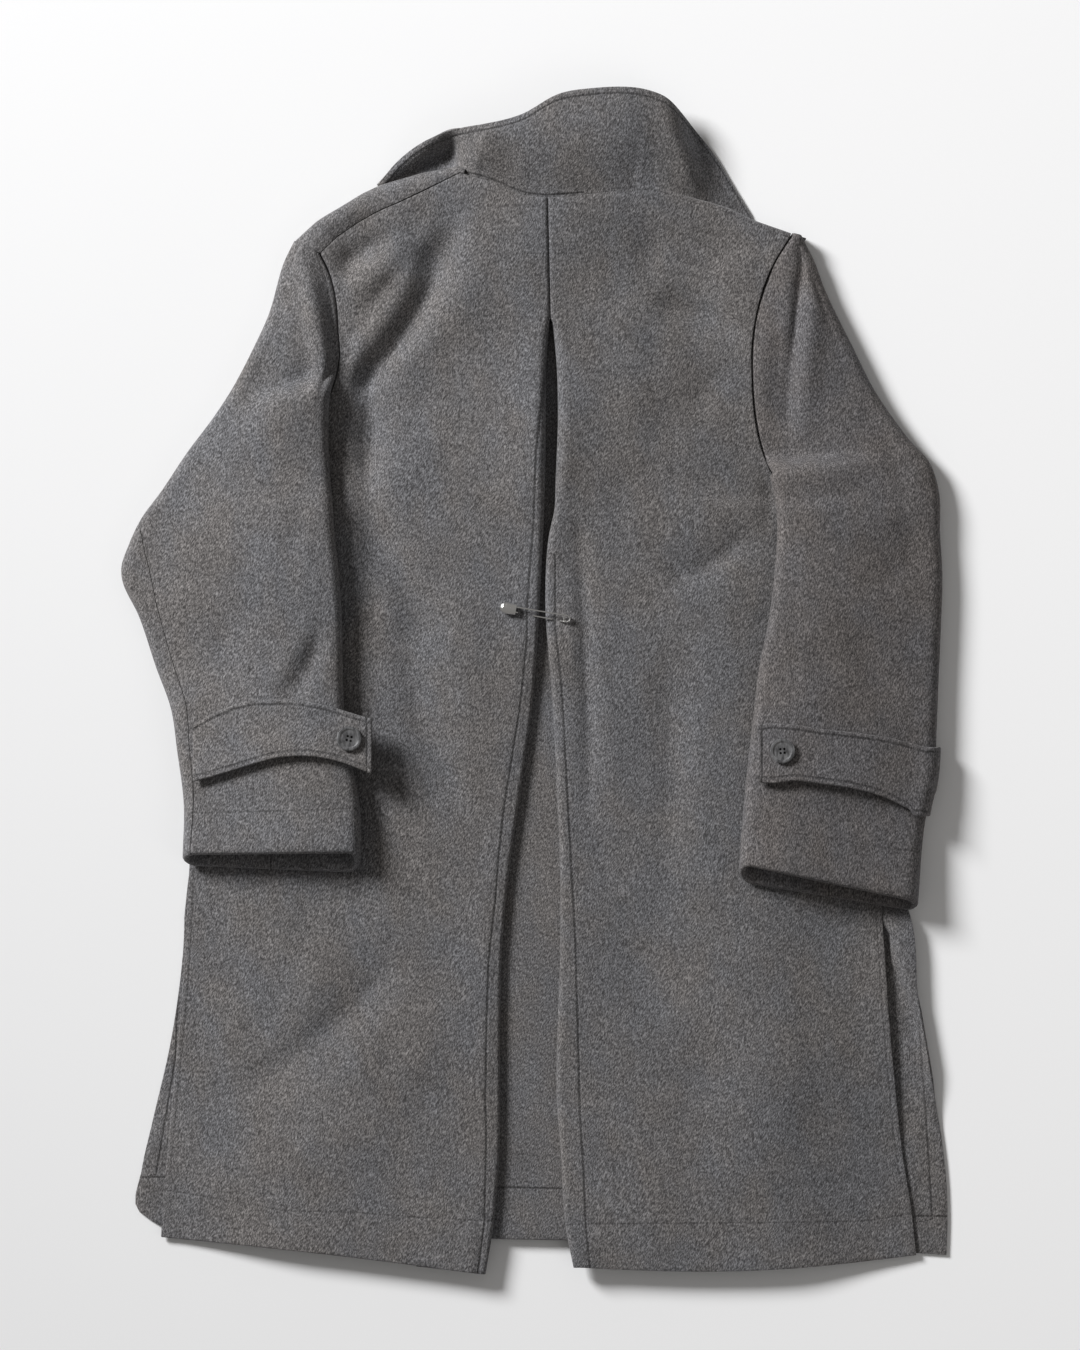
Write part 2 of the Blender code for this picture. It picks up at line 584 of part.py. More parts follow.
class Sleeve:
    """A sleeve: a tube of two pieces that starts at the armhole and lies over the side of the body."""

    def __init__(self, half, arms, underarm, lip):
        self.half = half
        self.arms = arms
        self.underarm = underarm
        self.lip = lip
        self.fine = through(arms, 200)
        self.over_from, self.over_to = 20, 37

    def rest(self, x, y):
        """What the underside lies on: the floor, or the back with a small clearance."""
        half = self.half
        side = float(half.edge(y, "side_x"))
        inward = (x - side) * half.turned
        body = float(half.lie(x if inward > 0 else side, y)) + CLOTH + SLEEVE_CLEARANCE
        return body * float(smooth((RAMP_END + inward) / (RAMP_END - RAMP_START)))

    def hole(self, arm, width):
        """How far in from the outer edge the armhole crosses a section, or the seam under the arm."""
        out_x, out_y, in_x, in_y = arm[:4]
        half = self.half
        if (out_y + in_y) / 2 > self.underarm:
            reach = np.linspace(0, width, 120)
            x = out_x + (in_x - out_x) * reach / width
            y = out_y + (in_y - out_y) * reach / width
            inside = (x - half.edge(y, "side_x")) * half.turned > 0
            return float(reach[np.argmax(inside)]) if inside.any() else width
        below = (self.underarm - (out_y + in_y) / 2) / UNDER_SEAM_RUN
        side = float(half.edge(self.underarm, "side_x")) - UNDERARM_SHIFT * half.turned
        start = (side - out_x) / (in_x - out_x)
        return width * (start + (0.5 - start) * float(smooth(below)))

    def section(self, arm):
        """The inside of one section, from the front piece's inner end over the top to the back piece's.

        It gives points of (x, y, z) and the distances along them of the section's corners."""
        out_x, out_y, in_x, in_y, roll, crown, seam, closed = arm
        half = self.half
        if closed < 1:
            edge = float(half.edge(in_y, "side_x")) * half.turned - ARMHOLE_GAP
            in_x = min(in_x * half.turned, edge) * half.turned
        width = math.hypot(in_x - out_x, in_y - out_y)
        run_x, run_y = (in_x - out_x) / width, (in_y - out_y) / width
        hole = self.hole((out_x, out_y, in_x, in_y), width)
        above = (out_y + in_y) / 2 > self.underarm

        def spot(reach):
            return out_x + run_x * reach, out_y + run_y * reach

        in_roll = TIGHT_TURN + (roll - TIGHT_TURN) * closed
        outer, inner = roll + CLOTH, width - in_roll - CLOTH
        low = CLOTH if above else self.rest(*spot(outer)) + CLOTH
        flush = float(half.lie(in_x + 2 * half.turned, in_y))
        lying = self.rest(*spot(inner)) + CLOTH + 2 * in_roll
        top_in = flush + (lying - flush) * float(smooth(closed))
        steep = float(smooth((HEAD_WIDTH - width) / HEAD_RUN))
        top_out = low + 2 * roll + steep * (top_in - low - 2 * roll)
        middle, high = (top_out + low) / 2, (top_out - low) / 2
        over_arm = (out_y + in_y) / 2 - self.underarm
        retreat = UNDERARM_RETREAT * math.exp(-((over_arm / UNDERARM_REACH) ** 2)) if above else 0
        front_end = hole - ARMHOLE_GAP - retreat if above else hole - UNDER_GAP
        back_end = min(hole, inner - UNDER_TURN)

        def top(reach):
            share = (reach - outer) / (inner - outer)
            height = top_out + (top_in - top_out) * float(smooth(share)) + crown * 4 * share * (1 - share)
            held = float(smooth(6 * share) * smooth(6 - 6 * share))
            for fold in SLEEVE_FOLDS:
                away = float(off_line(fold, *spot(reach))) / fold.half_width
                height += fold.depth * math.exp(-away * away) * held
            return height

        def under(reach):
            lay = self.rest(*spot(reach)) + CLOTH
            return top_in - 2 * in_roll + (lay - top_in + 2 * in_roll) * float(smooth(closed))

        reaches = np.linspace(front_end, outer, 9)
        floor = [(r, CLOTH if above else self.rest(*spot(r)) + CLOTH) for r in reaches]
        quarter = np.radians(np.arange(-75, 91, 15))
        outer_roll = [(outer - roll * math.cos(a), middle + high * math.sin(a)) for a in quarter]
        over = [(r, top(r)) for r in np.linspace(outer, inner, 17)[1:]]
        turn_z = top_in - in_roll
        inner_roll = [
            (inner + in_roll * math.cos(a), turn_z + in_roll * math.sin(a)) for a in quarter[::-1][1:]
        ]
        below = [(r, under(r)) for r in np.linspace(inner, back_end, 9)]
        flat = np.array(floor + outer_roll + over + inner_roll + below)
        along = np.concatenate([[0], np.cumsum(np.hypot(*np.diff(flat, axis=0).T))])
        ends = np.cumsum([len(floor), len(outer_roll), len(over), len(inner_roll)]) - 1
        outermost = len(floor) + 5
        seam_at = along[outermost] + (along[ends[1]] - along[outermost]) * min(seam / outer, 1)
        seam_at += max(seam - outer, 0)
        corners = [0, along[ends[0]], along[outermost], seam_at, *along[ends[1:]], along[-1]]
        points = np.column_stack([*spot(flat[:, 0]), flat[:, 1]])
        return points, along, corners

    def rows(self):
        """The front piece's rows and the back piece's rows, from the armhole to the cuff."""
        fronts, backs = [], []
        for number, arm in enumerate(through(self.arms, ARM_ROWS)):
            points, along, corners = self.section(arm)
            end, floor, outermost, seam, top, inner, turned, last = corners
            seam_low, seam_high = seam - SEAM / 2, seam + SEAM / 2
            near_low, near_high = seam_low - SEAM_BAND, seam_high + SEAM_BAND
            outermost = min(outermost, near_low - 1)
            top = max(top, near_high + 4)
            front_stops = spread((seam_low, 1), (near_low, 3), (outermost, 3), (floor, 5), (end, 1))
            back_stops = spread((seam_high, 1), (near_high, 2), (top, 8), (inner, 4), (turned, 4), (last, 1))
            lip = self.lip * float(smooth((number - ARM_ROWS + LIP_ROWS + 1) / LIP_ROWS))
            low = points[:, 2].min()
            points[:, 1] -= lip * (1 - smooth((points[:, 2] - low - LIP_FROM) / LIP_RUN))
            for stops, rows in ((front_stops, fronts), (back_stops, backs)):
                rows.append([tuple(np.interp(stop, along, points[:, k]) for k in range(3)) for stop in stops])
        return fronts, backs

    def top_at(self, x, y):
        """Height of the sleeve's upper face, in the forearm."""
        share = (x - self.fine[:, 0]) / (self.fine[:, 2] - self.fine[:, 0])
        level = self.fine[:, 1] + (self.fine[:, 3] - self.fine[:, 1]) * share
        points, _, _ = self.section(self.fine[np.argmin(np.abs(level - y))])
        upper = points[self.over_from : self.over_to]
        order = np.argsort(upper[:, 0])
        return float(np.interp(x, upper[order, 0], upper[order, 2])) + CLOTH

    def strap_point(self, x, y, share):
        """A point on the underside of the strap, its share down from the strap's upper edge."""
        return x, y, self.top_at(x, y) + STRAP_SEAT + STRAP_RISE * share**2


def spread(*stops):
    """Distances from the first stop to the last, each with the number of steps that follow it."""
    found = []
    for (start, steps), (stop, _) in zip(stops, stops[1:]):
        found += list(np.linspace(start, stop, steps, endpoint=False))
    return found + [stops[-1][0]]


def sleeve(tube, side, group, material):
    """The back and the front piece of one sleeve."""
    fronts, backs = tube.rows()
    turned = tube.half.turned
    wall(f"sleeve_{side}_front", fronts, group, material, flip=turned < 0)
    wall(f"sleeve_{side}_back", backs, group, material, flip=turned > 0)


def collar(left, right, group, material):
    """The standing collar, whose middle lies high over the neck."""
    rows = []
    for edge_x, edge_y, edge_z, seam_x, seam_y, seam_z, puff in through(COLLAR, COLLAR_ROWS):
        if NECK_LEFT < seam_x < NECK_RIGHT:
            half = left if seam_x < CENTRE_SEAM_HIGH else right
            own = float(half.lie(seam_x, seam_y))
            near = smooth((seam_x - COLLAR_LEFT) / COLLAR_EASE)
            near = near * smooth((COLLAR_RIGHT - seam_x) / COLLAR_EASE)
            seam_z = seam_z + (own - seam_z) * float(near)
        row = []
        for share in np.linspace(0, 1, COLLAR_COLUMNS):
            x = seam_x + (edge_x - seam_x) * share
            y = seam_y + (edge_y - seam_y) * share
            z = seam_z + (edge_z - seam_z) * float(smooth(share)) + puff * math.sin(math.pi * share)
            row.append((x, y, max(z, CLOTH)))
        rows.append(row)
    wall("collar", rows, group, material, flip=False)


def strap(tube, table, wrapped, name, group, material):
    """The strap across a cuff: it lies on the sleeve and stands up a little at its lower edge."""
    rows = []
    for x, top_y, bottom_y in through(table, STRAP_COLUMNS):
        shares = np.linspace(0, 1, STRAP_LINES)
        rows.append([tube.strap_point(x, top_y + (bottom_y - top_y) * share, share) for share in shares])
    if wrapped:
        for angle in np.radians(WRAP_ANGLES):
            row = []
            for share in np.linspace(0, 1, STRAP_LINES):
                y = -STRAP_WRAP[0] - (STRAP_WRAP[1] - STRAP_WRAP[0]) * share
                arm = tube.fine[np.argmin(np.abs(tube.fine[:, 1] - y))]
                round_it = arm[4] + CLOTH + WRAP_SEAT
                x = arm[0] - arm[4] - CLOTH + round_it * math.cos(angle)
                lift = STRAP_RISE * share**2 * math.sin(angle)
                row.append((x, y, CLOTH + arm[4] + round_it * math.sin(angle) + lift))
            rows.append(row)
    wall(name, rows, group, material, thick=STRAP_THICK)


def button(tube, table, centre, name, group, material, cutters):
    """A turned button with four holes, lying on its strap."""
    x, y = centre

    def face(x, y):
        top_y, bottom_y = (np.interp(x, [row.x for row in table], [row[k] for row in table]) for k in (1, 2))
        return Vector(tube.strap_point(x, y, (y - top_y) / (bottom_y - top_y)))

    across = face(x + SEAT_SPAN, y) - face(x - SEAT_SPAN, y)
    up = across.cross(face(x, y + SEAT_SPAN) - face(x, y - SEAT_SPAN)).normalized()
    place = Matrix.Translation((face(x, y) + up * (STRAP_THICK + BUTTON_SEAT)) * MM)
    place = place @ up.to_track_quat("Z", "Y").to_matrix().to_4x4()
    radius, dish = BUTTON_RADIUS, BUTTON_RADIUS - BUTTON_RIM
    profile = [
        (0, 0), (radius - BUTTON_FOOT, 0), (radius, BUTTON_FOOT), (radius, BUTTON_THICK - BUTTON_EDGE),
        (radius - BUTTON_EDGE, BUTTON_THICK), (dish, BUTTON_THICK),
        (dish - BUTTON_SLOPE, BUTTON_DISH), (0, BUTTON_DISH),
    ]
    mesh = bmesh.new()
    spots = [mesh.verts.new((r * MM, 0, z * MM)) for r, z in profile]
    for low, high in zip(spots, spots[1:]):
        mesh.edges.new((low, high))
    data = bpy.data.meshes.new(name)
    mesh.to_mesh(data)
    mesh.free()
    disc = bpy.data.objects.new(name, data)
    disc.data.materials.append(material)
    disc.matrix_world = place
    group.objects.link(disc)
    turned = disc.modifiers.new("turned", "SCREW")
    turned.steps = turned.render_steps = BUTTON_STEPS
    turned.use_merge_vertices = True
    turned.merge_threshold = 0.00001
    turned.use_normal_calculate = True
    for number in range(4):
        angle = math.radians(45 + 90 * number)
        out = Vector((math.cos(angle), math.sin(angle), 0)) * BUTTON_HOLE_OUT * MM
        bpy.ops.mesh.primitive_cylinder_add(
            vertices=10, radius=BUTTON_HOLE * MM, depth=4 * BUTTON_THICK * MM, location=(0, 0, 0)
        )
        drill = bpy.context.object
        drill.name = f"{name}_drill_{number}"
        drill.matrix_world = place @ Matrix.Translation(out)
        hide(drill, cutters)
        cut(disc, drill)


def hide(thing, cutters):
    """Put a cutter away in the cutters' collection."""
    for holder in list(thing.users_collection):
        holder.objects.unlink(thing)
    cutters.objects.link(thing)
    thing.hide_render = True
    thing.display_type = "WIRE"


def cut(thing, cutter):
    made = thing.modifiers.new("cut", "BOOLEAN")
    made.operation = "DIFFERENCE"
    made.solver = "EXACT"
    made.object = cutter


def wire(name, points, radius, group, material):
    """A round wire along straight runs, as a closed mesh."""
    curve = bpy.data.curves.new(name, "CURVE")
    curve.dimensions = "3D"
    curve.bevel_depth = radius * MM
    curve.bevel_resolution = 2
    curve.use_fill_caps = True
    line = curve.splines.new("POLY")
    line.points.add(len(points) - 1)
    for spot, point in zip(line.points, points):
        spot.co = (*(Vector(point) * MM), 1)
    source = bpy.data.objects.new(name + "_line", curve)
    bpy.context.scene.collection.objects.link(source)
    bpy.context.view_layer.update()
    seen = source.evaluated_get(bpy.context.evaluated_depsgraph_get())
    data = bpy.data.meshes.new_from_object(seen)
    bpy.data.objects.remove(source, do_unlink=True)
    mesh = bmesh.new()
    mesh.from_mesh(data)
    bmesh.ops.remove_doubles(mesh, verts=mesh.verts, dist=0.000001)
    mesh.to_mesh(data)
    mesh.free()
    made = bpy.data.objects.new(name, data)
    made.data.materials.clear()
    made.data.materials.append(material)
    group.objects.link(made)
    return made


def pin(backs, group, material, cutters):
    """The closed safety pin: one bent wire and the clasp over its two ends."""
    coil = []
    for step in range(COIL_STEPS + 1):
        angle = math.radians(COIL_START + COIL_STEP * step)
        rise = PIN_COIL.z - COIL_RISE / 2 + COIL_RISE * step / COIL_STEPS
        out_x, out_y = COIL_RADIUS * math.cos(angle), COIL_RADIUS * math.sin(angle)
        coil.append((PIN_COIL.x + out_x, PIN_COIL.y + out_y, rise))
    route = [tuple(point) for point in NEEDLE] + coil + [tuple(BAR_END)]
    wire("safety_pin", route, WIRE, group, material)
    needle = [tuple(point) for point in NEEDLE]
    drill = wire("pin_drill", needle, PIN_HOLE, group, material)
    hide(drill, cutters)
    for piece in backs:
        cut(piece, drill)
    head = Vector(CLASP_BACK)
    along = Vector((PIN_COIL.x, PIN_COIL.y, head.z)) - head
    along.normalize()
    across = Vector((-along.y, along.x, 0))
    rows = []
    for share, size in CLASP:
        row = []
        for angle in np.radians(np.linspace(*CLASP_SPAN, 13)):
            side = across * (CLASP_HALF * size * math.cos(angle))
            high = Vector((0, 0, CLASP_HIGH * min(size + 0.1, 1) * math.sin(angle)))
            row.append(tuple(head + along * (CLASP_LENGTH * share) + side + high))
        rows.append(row)
    wall("pin_clasp", rows, group, material, thick=SHEET)


def build():
    clear_scene()
    group = bpy.data.collections.new("coat")
    cutters = bpy.data.collections.new("cutters")
    bpy.context.scene.collection.children.link(group)
    bpy.context.scene.collection.children.link(cutters)
    wool = finish("wool", WOOL, 0.95)
    horn = finish("horn", HORN, 0.3)
    steel = finish("steel", STEEL, 0.25, metallic=1.0)
    left = Half(BACK_LEFT, TOP_LEFT, FRONT_LEFT, WRAP_LEFT, NECK_POINT_LEFT, 1)
    right = Half(BACK_RIGHT, TOP_RIGHT, FRONT_RIGHT, WRAP_RIGHT, NECK_POINT_RIGHT, -1)
    backs = [back(left, "back_left", group, wool), back(right, "back_right", group, wool)]
    front(left, "front_left", 0, group, wool)
    front(right, "front_right", 1, group, wool)
    underlay(left, right, group, wool)
    arm_left = Sleeve(left, ARM_LEFT, UNDERARM_LEFT, LIP_LEFT)
    arm_right = Sleeve(right, ARM_RIGHT, UNDERARM_RIGHT, LIP_RIGHT)
    sleeve(arm_left, "left", group, wool)
    sleeve(arm_right, "right", group, wool)
    collar(left, right, group, wool)
    strap(arm_left, STRAP_LEFT, False, "cuff_tab_left", group, wool)
    strap(arm_right, STRAP_RIGHT, True, "cuff_tab_right", group, wool)
    button(arm_left, STRAP_LEFT, BUTTON_LEFT, "button_left", group, horn, cutters)
    button(arm_right, STRAP_RIGHT, BUTTON_RIGHT, "button_right", group, horn, cutters)
    pin(backs, group, steel, cutters)


build()
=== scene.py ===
# %% [markdown]
# # A wool coat, laid flat on its front
#
# The coat lies face down, so its back is up: two back panels with an inverted pleat between them, two
# sleeves with a strap across each cuff, and a wide collar. On the real coat each panel is a flat cut of
# thick felted wool that was sewn to its neighbours. Here each panel is a thin wall that follows the same
# sections as the solid that it stands for, on a much finer grid, so that soft folds can run over it.

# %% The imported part
import math
from collections import namedtuple

import bpy
import numpy as np
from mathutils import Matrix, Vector


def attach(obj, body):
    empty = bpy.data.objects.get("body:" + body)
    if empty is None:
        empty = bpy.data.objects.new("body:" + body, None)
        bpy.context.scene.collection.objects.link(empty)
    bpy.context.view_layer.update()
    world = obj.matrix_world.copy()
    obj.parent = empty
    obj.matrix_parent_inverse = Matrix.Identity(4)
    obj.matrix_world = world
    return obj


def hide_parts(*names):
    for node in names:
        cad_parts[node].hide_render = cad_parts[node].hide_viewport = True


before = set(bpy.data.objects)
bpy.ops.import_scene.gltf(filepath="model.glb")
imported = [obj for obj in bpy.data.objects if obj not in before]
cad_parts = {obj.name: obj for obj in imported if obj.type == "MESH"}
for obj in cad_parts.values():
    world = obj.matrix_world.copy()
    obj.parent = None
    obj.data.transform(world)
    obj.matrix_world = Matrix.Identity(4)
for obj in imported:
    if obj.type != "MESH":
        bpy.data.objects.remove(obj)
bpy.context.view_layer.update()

# %% [markdown]
# ## Sizes
#
# All sizes are in millimetres and turn into metres when a mesh is made. The wool is 2.5 mm thick, and
# panels that touch stay a third of a millimetre apart, so that no two walls share one place.

# %% The cloth and how the back lies
MM = 0.001
CLOTH = 2.5
SEAM = 0.3
SEAT = CLOTH + SEAM

# How high the back lies over the fronts: at its side seams it rests on them.
LOFT = 11.7
SIDE_FALL = 130
FOLD_FALL = 60
NECK_LIFT = 12.5
NECK_WIDTH = 125
NECK_MIDDLE = 14
NECK_FROM = 270
NECK_RUN = 160

# The inverted pleat: its turned edges, and the underlay behind them.
PLEAT_TOP = 322
PLEAT_CLOSES = 22
PLEAT_FADE = 40
CENTRE_SEAM_LOW = 14.4
CENTRE_SEAM_HIGH = 12.1
CENTRE_SEAM_END = 428
RETURN_DEPTH = 58
RETURN_TOP = 10
RETURN_FACE = 11.0
UNDERLAY_SEAT = 5.6
ROLL_LIFT = 1.2
ROLL_WIDTH = 28
ROLL_ABOVE = 10
ROLL_READ = 6
ROLL_BEND = (75, -90)
ROLL_STEPS = 12
ROLL_SQUARE = 0.7
RETURN_FROM = 75
RETURN_FADE = 70
RETURN_STEPS = 8
EDGE_EASE = (0.3, 0.7, 1)
GAPE_LIFT = 8
GAPE_WIDTH = 42
GAPE_MIDDLE = 228
GAPE_LENGTH = 78
TIGHT_TURN = 1.7
DROOP = 2.6
DROOP_RUN = 17
DROOP_TOP = 60
DROOP_FADE = 80

# Creases die out beside the side seam, beside the pleat's edge and low on the turned shoulder.
SIDE_CALM = 20
FOLD_CALM = 16
DENT_FROM = 0.4

# How many points each grid has.
FINE_ROWS = 240
BACK_COLUMNS = 84
FRONT_ROWS = 110
FRONT_SIDE_COLUMNS = 14
FRONT_INNER_COLUMNS = 22
UNDERLAY_ROWS = 150
UNDERLAY_COLUMNS = 44
SLEEVE_ROWS = 150
COLLAR_ROWS = 130
COLLAR_COLUMNS = 36
STRAP_ROWS = 56
STRAP_COLUMNS = 20
STRAP_TURN_ROWS = 12

# %% [markdown]
# ## The back panels' sections
#
# A back panel is a stack of sections from the hem up. A row says where the section starts at the side
# seam, where it ends at the pleat, how high its side stands, and how much of the shoulder's rise it has.
# A smooth curve through the rows gives as many sections as the grid needs.

# %% Sections of the back
Section = namedtuple("Section", "side_x side_y fold_x fold_y lift rise bow")
BACK_LEFT = [
    Section(-331, -493, -42.9, -525, 0, 0, 2),
    Section(-329, -456, -36, -482, 0, 0, 1),
    Section(-325, -415, -31, -425, 0, 0, 0),
    Section(-320, -360, -30, -366, 0, 0, 0),
    Section(-315, -307, -30, -307, 0, 0, 0),
    Section(-309, -230, -28, -232, 0, 0, 0),
    Section(-306, -168, -22, -168, 0, 0, 0),
    Section(-300, -90, -11, -90, 0, 0, 0),
    Section(-293, 0, 0.5, 0, 0, 0, 0),
    Section(-286, 80, 5.5, 80, 0, 0, 0),
    Section(-281, 152, 9, 152, 0, 0, 0),
    Section(-240, 178, 10, 192, 0.3, 0, 0),
    Section(-210, 208, 10.5, 225, 1, 0, 0),
    Section(-190, 236, 10.5, 255, 3, 0.02, 0),
    Section(-178, 262, 11, 283, 6.5, 0.05, 0),
    Section(-172, 285, 12.6, 306, 9.5, 0.12, 0),
    Section(-173, 310, 14.4, 330, 11.5, 0.25, 0),
    Section(-175, 338, 13.6, 362, 12.5, 0.45, 0),
    Section(-181, 362, 12.8, 396, 13, 0.75, 0),
    Section(-189, 379, 12, 428, 13, 1, 0),
]
BACK_RIGHT = [
    Section(339, -509, 35, -519, 0, 0, -8),
    Section(335, -470, 27.5, -480, 0, 0, -5),
    Section(327, -419, 24, -422, 0, 0, -2),
    Section(321, -365, 20, -366, 2, 0, 0),
    Section(315, -300, 21, -300, 4, 0, 0),
    Section(311, -240, 23, -240, 3, 0, 0),
    Section(306, -170, 23, -170, 0, 0, 0),
    Section(299, -90, 20, -90, 0, 0, 0),
    Section(291, 0, 15, 0, 0, 0, 0),
    Section(284, 67, 10, 70, 0, 0, 0),
    Section(276, 122, 13, 128, 0, 0, 0),
    Section(272, 150, 18, 152, 0, 0, 0),
    Section(240, 162, 19, 176, 0.3, 0, 0),
    Section(216, 178, 20, 200, 1.5, 0, 0),
    Section(203, 202, 21, 226, 4, 0.02, 0),
    Section(196, 230, 21, 252, 7, 0.05, 0),
    Section(193, 265, 20, 280, 10, 0.12, 0),
    Section(193, 300, 17.5, 308, 12, 0.25, 0),
    Section(199, 335, 14, 342, 12.5, 0.45, 0),
    Section(210, 366, 13, 384, 13, 0.75, 0),
    Section(226, 393, 12.2, 428, 13, 1, 0),
]

# %% The shoulder and neck seams
Seam = namedtuple("Seam", "share rise")
TOP_LEFT = [
    Seam(0, 0), Seam(0.08, 12), Seam(0.164, 19), Seam(0.249, 24), Seam(0.343, 27), Seam(0.5, 34),
    Seam(0.63, 40), Seam(0.706, 32), Seam(0.78, 24), Seam(0.846, 14.5), Seam(0.91, 6.4), Seam(1, 0),
]
TOP_RIGHT = [
    Seam(0, 0), Seam(0.159, 6), Seam(0.257, 12.8), Seam(0.355, 15.6), Seam(0.439, 17),
    Seam(0.514, 20.5), Seam(0.589, 22), Seam(0.673, 16.5), Seam(0.748, 14), Seam(0.86, 7.5),
    Seam(0.93, 3), Seam(1, 0),
]

# %% The largest folds
Fold = namedtuple("Fold", "from_x from_y to_x to_y half_width depth")
FOLDS = [
    Fold(-88, 412, -98, 376, 17, -7),
    Fold(-98, 376, -150, 305, 17, -7),
    Fold(-125, 385, -160, 345, 16, 3),
    Fold(-60, 330, -120, 270, 26, 2.5),
    Fold(-150, 150, -100, 55, 22, -2.6),
    Fold(-112, 38, -78, -85, 22, -2.4),
    Fold(-70, 60, -52, -60, 24, 2),
    Fold(-135, -269, -225, -345, 30, -2.8),
    Fold(-95, -330, -180, -420, 34, 2.5),
    Fold(100, 385, 150, 372, 26, -3),
    Fold(125, 337, 175, 306, 22, -4),
    Fold(150, 262, 120, 225, 26, -2.5),
    Fold(90, 300, 80, 210, 30, 2.5),
    Fold(180, 122, 130, 96, 20, -3),
    Fold(118, -20, 112, -260, 34, -2.4),
    Fold(190, -250, 200, -420, 38, 2.5),
]

# %% [markdown]
# ## The fronts and the shoulders
#
# The fronts lie flat on the floor under the back. Their upper edges turn up round the shoulder to the
# seam, so the left shoulder shows a strip of the front's cloth outside the seam.

# %% Sections of the fronts
Front = namedtuple("Front", "side_x side_y centre_x centre_y")
FRONT_LEFT = [
    Front(-334, -482, 45, -485),
    Front(-351, -470, 45, -470),
    Front(-348, -432, 45, -432),
    Front(-339, -392, 45, -392),
    Front(-322, -317, 45, -317),
    Front(-312, -245, 45, -245),
    Front(-309, -195, 45, -195),
    Front(-305, -160, 45, -160),
    Front(-293, 0, 45, 0),
    Front(-281, 150, 45, 160),
    Front(-240, 177, 45, 200),
    Front(-210, 207, 45, 235),
    Front(-190, 235, 45, 268),
    Front(-178, 261, 45, 300),
    Front(-172, 284, 44, 338),
    Front(-173, 310, 34, 376),
    Front(-175, 338, 0, 388),
    Front(-181, 362, -38, 408),
]
FRONT_RIGHT = [
    Front(366, -509, -28, -484),
    Front(367, -478, -28, -466),
    Front(362, -407, -28, -403),
    Front(354, -362, -28, -360),
    Front(341, -287, -28, -287),
    Front(333, -205, -28, -205),
    Front(318, -168, -28, -168),
    Front(304, -145, -28, -145),
    Front(291, 0, -28, 0),
    Front(276, 120, -28, 120),
    Front(271, 149, -28, 160),
    Front(240, 161, -28, 192),
    Front(216, 177, -28, 225),
    Front(203, 201, -28, 260),
    Front(196, 230, -27, 295),
    Front(193, 265, -22, 335),
    Front(193, 300, -4, 372),
    Front(199, 335, 28, 390),
    Front(210, 366, 66, 406),
]

# %% The cloth turned over the shoulders
Wrap = namedtuple("Wrap", "share bulge heading")
WRAP_LEFT = [Wrap(0, 25, 156), Wrap(0.25, 20, 134), Wrap(0.5, 21, 118), Wrap(0.75, 15, 110), Wrap(1, 5, 106)]
WRAP_RIGHT = [Wrap(0, 4, 60), Wrap(0.5, 4, 70), Wrap(1, 4, 84)]
NECK_POINT_LEFT = 0.65
NECK_POINT_RIGHT = 0.625

# %% [markdown]
# ## The sleeves
#
# A sleeve is a tube of two pieces. At its head it is open to the armhole, and below the underarm it
# closes and lies over the side of the body. A row gives its outer and inner edge as seen from above,
# the radius of its rolled edges, its crown, and where the hind seam lies.

# %% Sections of the sleeves
Arm = namedtuple("Arm", "out_x out_y in_x in_y roll crown seam closed")
ARM_LEFT = [
    Arm(-214.3, 387.2, -190, 377.2, 5.6, 0, 0, 0),
    Arm(-222, 371, -181.5, 360.5, 6, 1, 0, 0),
    Arm(-235, 325, -175.4, 338, 6.5, 3, 0, 0),
    Arm(-248, 296, -173.4, 311, 7, 4, 0, 0),
    Arm(-266, 261, -172.6, 285, 7, 5, 0, 0),
    Arm(-284, 233, -180, 256, 7, 5, 0, 1),
    Arm(-308, 201, -182, 224, 7.5, 5, 0, 1),
    Arm(-330, 168, -181, 190, 7.5, 5, 0, 1),
    Arm(-349, 142, -178, 156, 7.5, 5, 3, 1),
    Arm(-359.5, 120, -176, 128, 7.5, 5, 14, 1),
    Arm(-366, 98.5, -173, 101, 7.5, 5, 26, 1),
    Arm(-365, 90, -172, 90, 7.5, 5, 27, 1),
    Arm(-351, 60, -170, 60, 7.5, 5, 20, 1),
    Arm(-335, 13, -169, 13, 7.5, 5, 17, 1),
    Arm(-322, -22, -168, -20, 8, 4, 15, 1),
    Arm(-316, -60, -163, -60, 8.5, 4, 12, 1),
    Arm(-310, -105, -154, -104, 9, 4, 10, 1),
    Arm(-311, -150, -153, -148, 10, 4, 9, 1),
]
ARM_RIGHT = [
    Arm(239, 390.5, 226.6, 393.5, 2.5, 0, 0, 0),
    Arm(249, 371, 214, 374, 6, 1, 0, 0),
    Arm(257, 349, 205.6, 352, 6.5, 2, 0, 0),
    Arm(269, 323, 197, 325, 7, 4, 0, 0),
    Arm(282, 297, 193.6, 300, 7, 5, 0, 0),
    Arm(304, 254, 194.4, 250, 7, 5, 0, 0),
    Arm(316, 236, 197.6, 227, 7, 5, 0, 0),
    Arm(334, 212, 203.4, 203, 7.5, 5, 0, 0),
    Arm(351, 193, 208.5, 183, 7.5, 5, 0, 1),
    Arm(359, 168, 213, 162, 7.5, 5, 0, 1),
    Arm(360, 132, 215, 136, 7.5, 5, 0, 1),
    Arm(362, 95, 213, 100, 7.5, 5, 0, 1),
    Arm(361, 55, 208, 58, 7.5, 5, 0, 1),
    Arm(359, 10, 199, 12, 7.5, 5, 0, 1),
    Arm(357, -40, 193, -38, 8, 4, 0, 1),
    Arm(355, -81, 188, -80, 8.5, 4, 0, 1),
    Arm(346, -125, 184, -118, 9, 4, 0, 1),
    Arm(340, -192, 181, -158, 10, 4, 0, 1),
]
UNDERARM_LEFT = 152
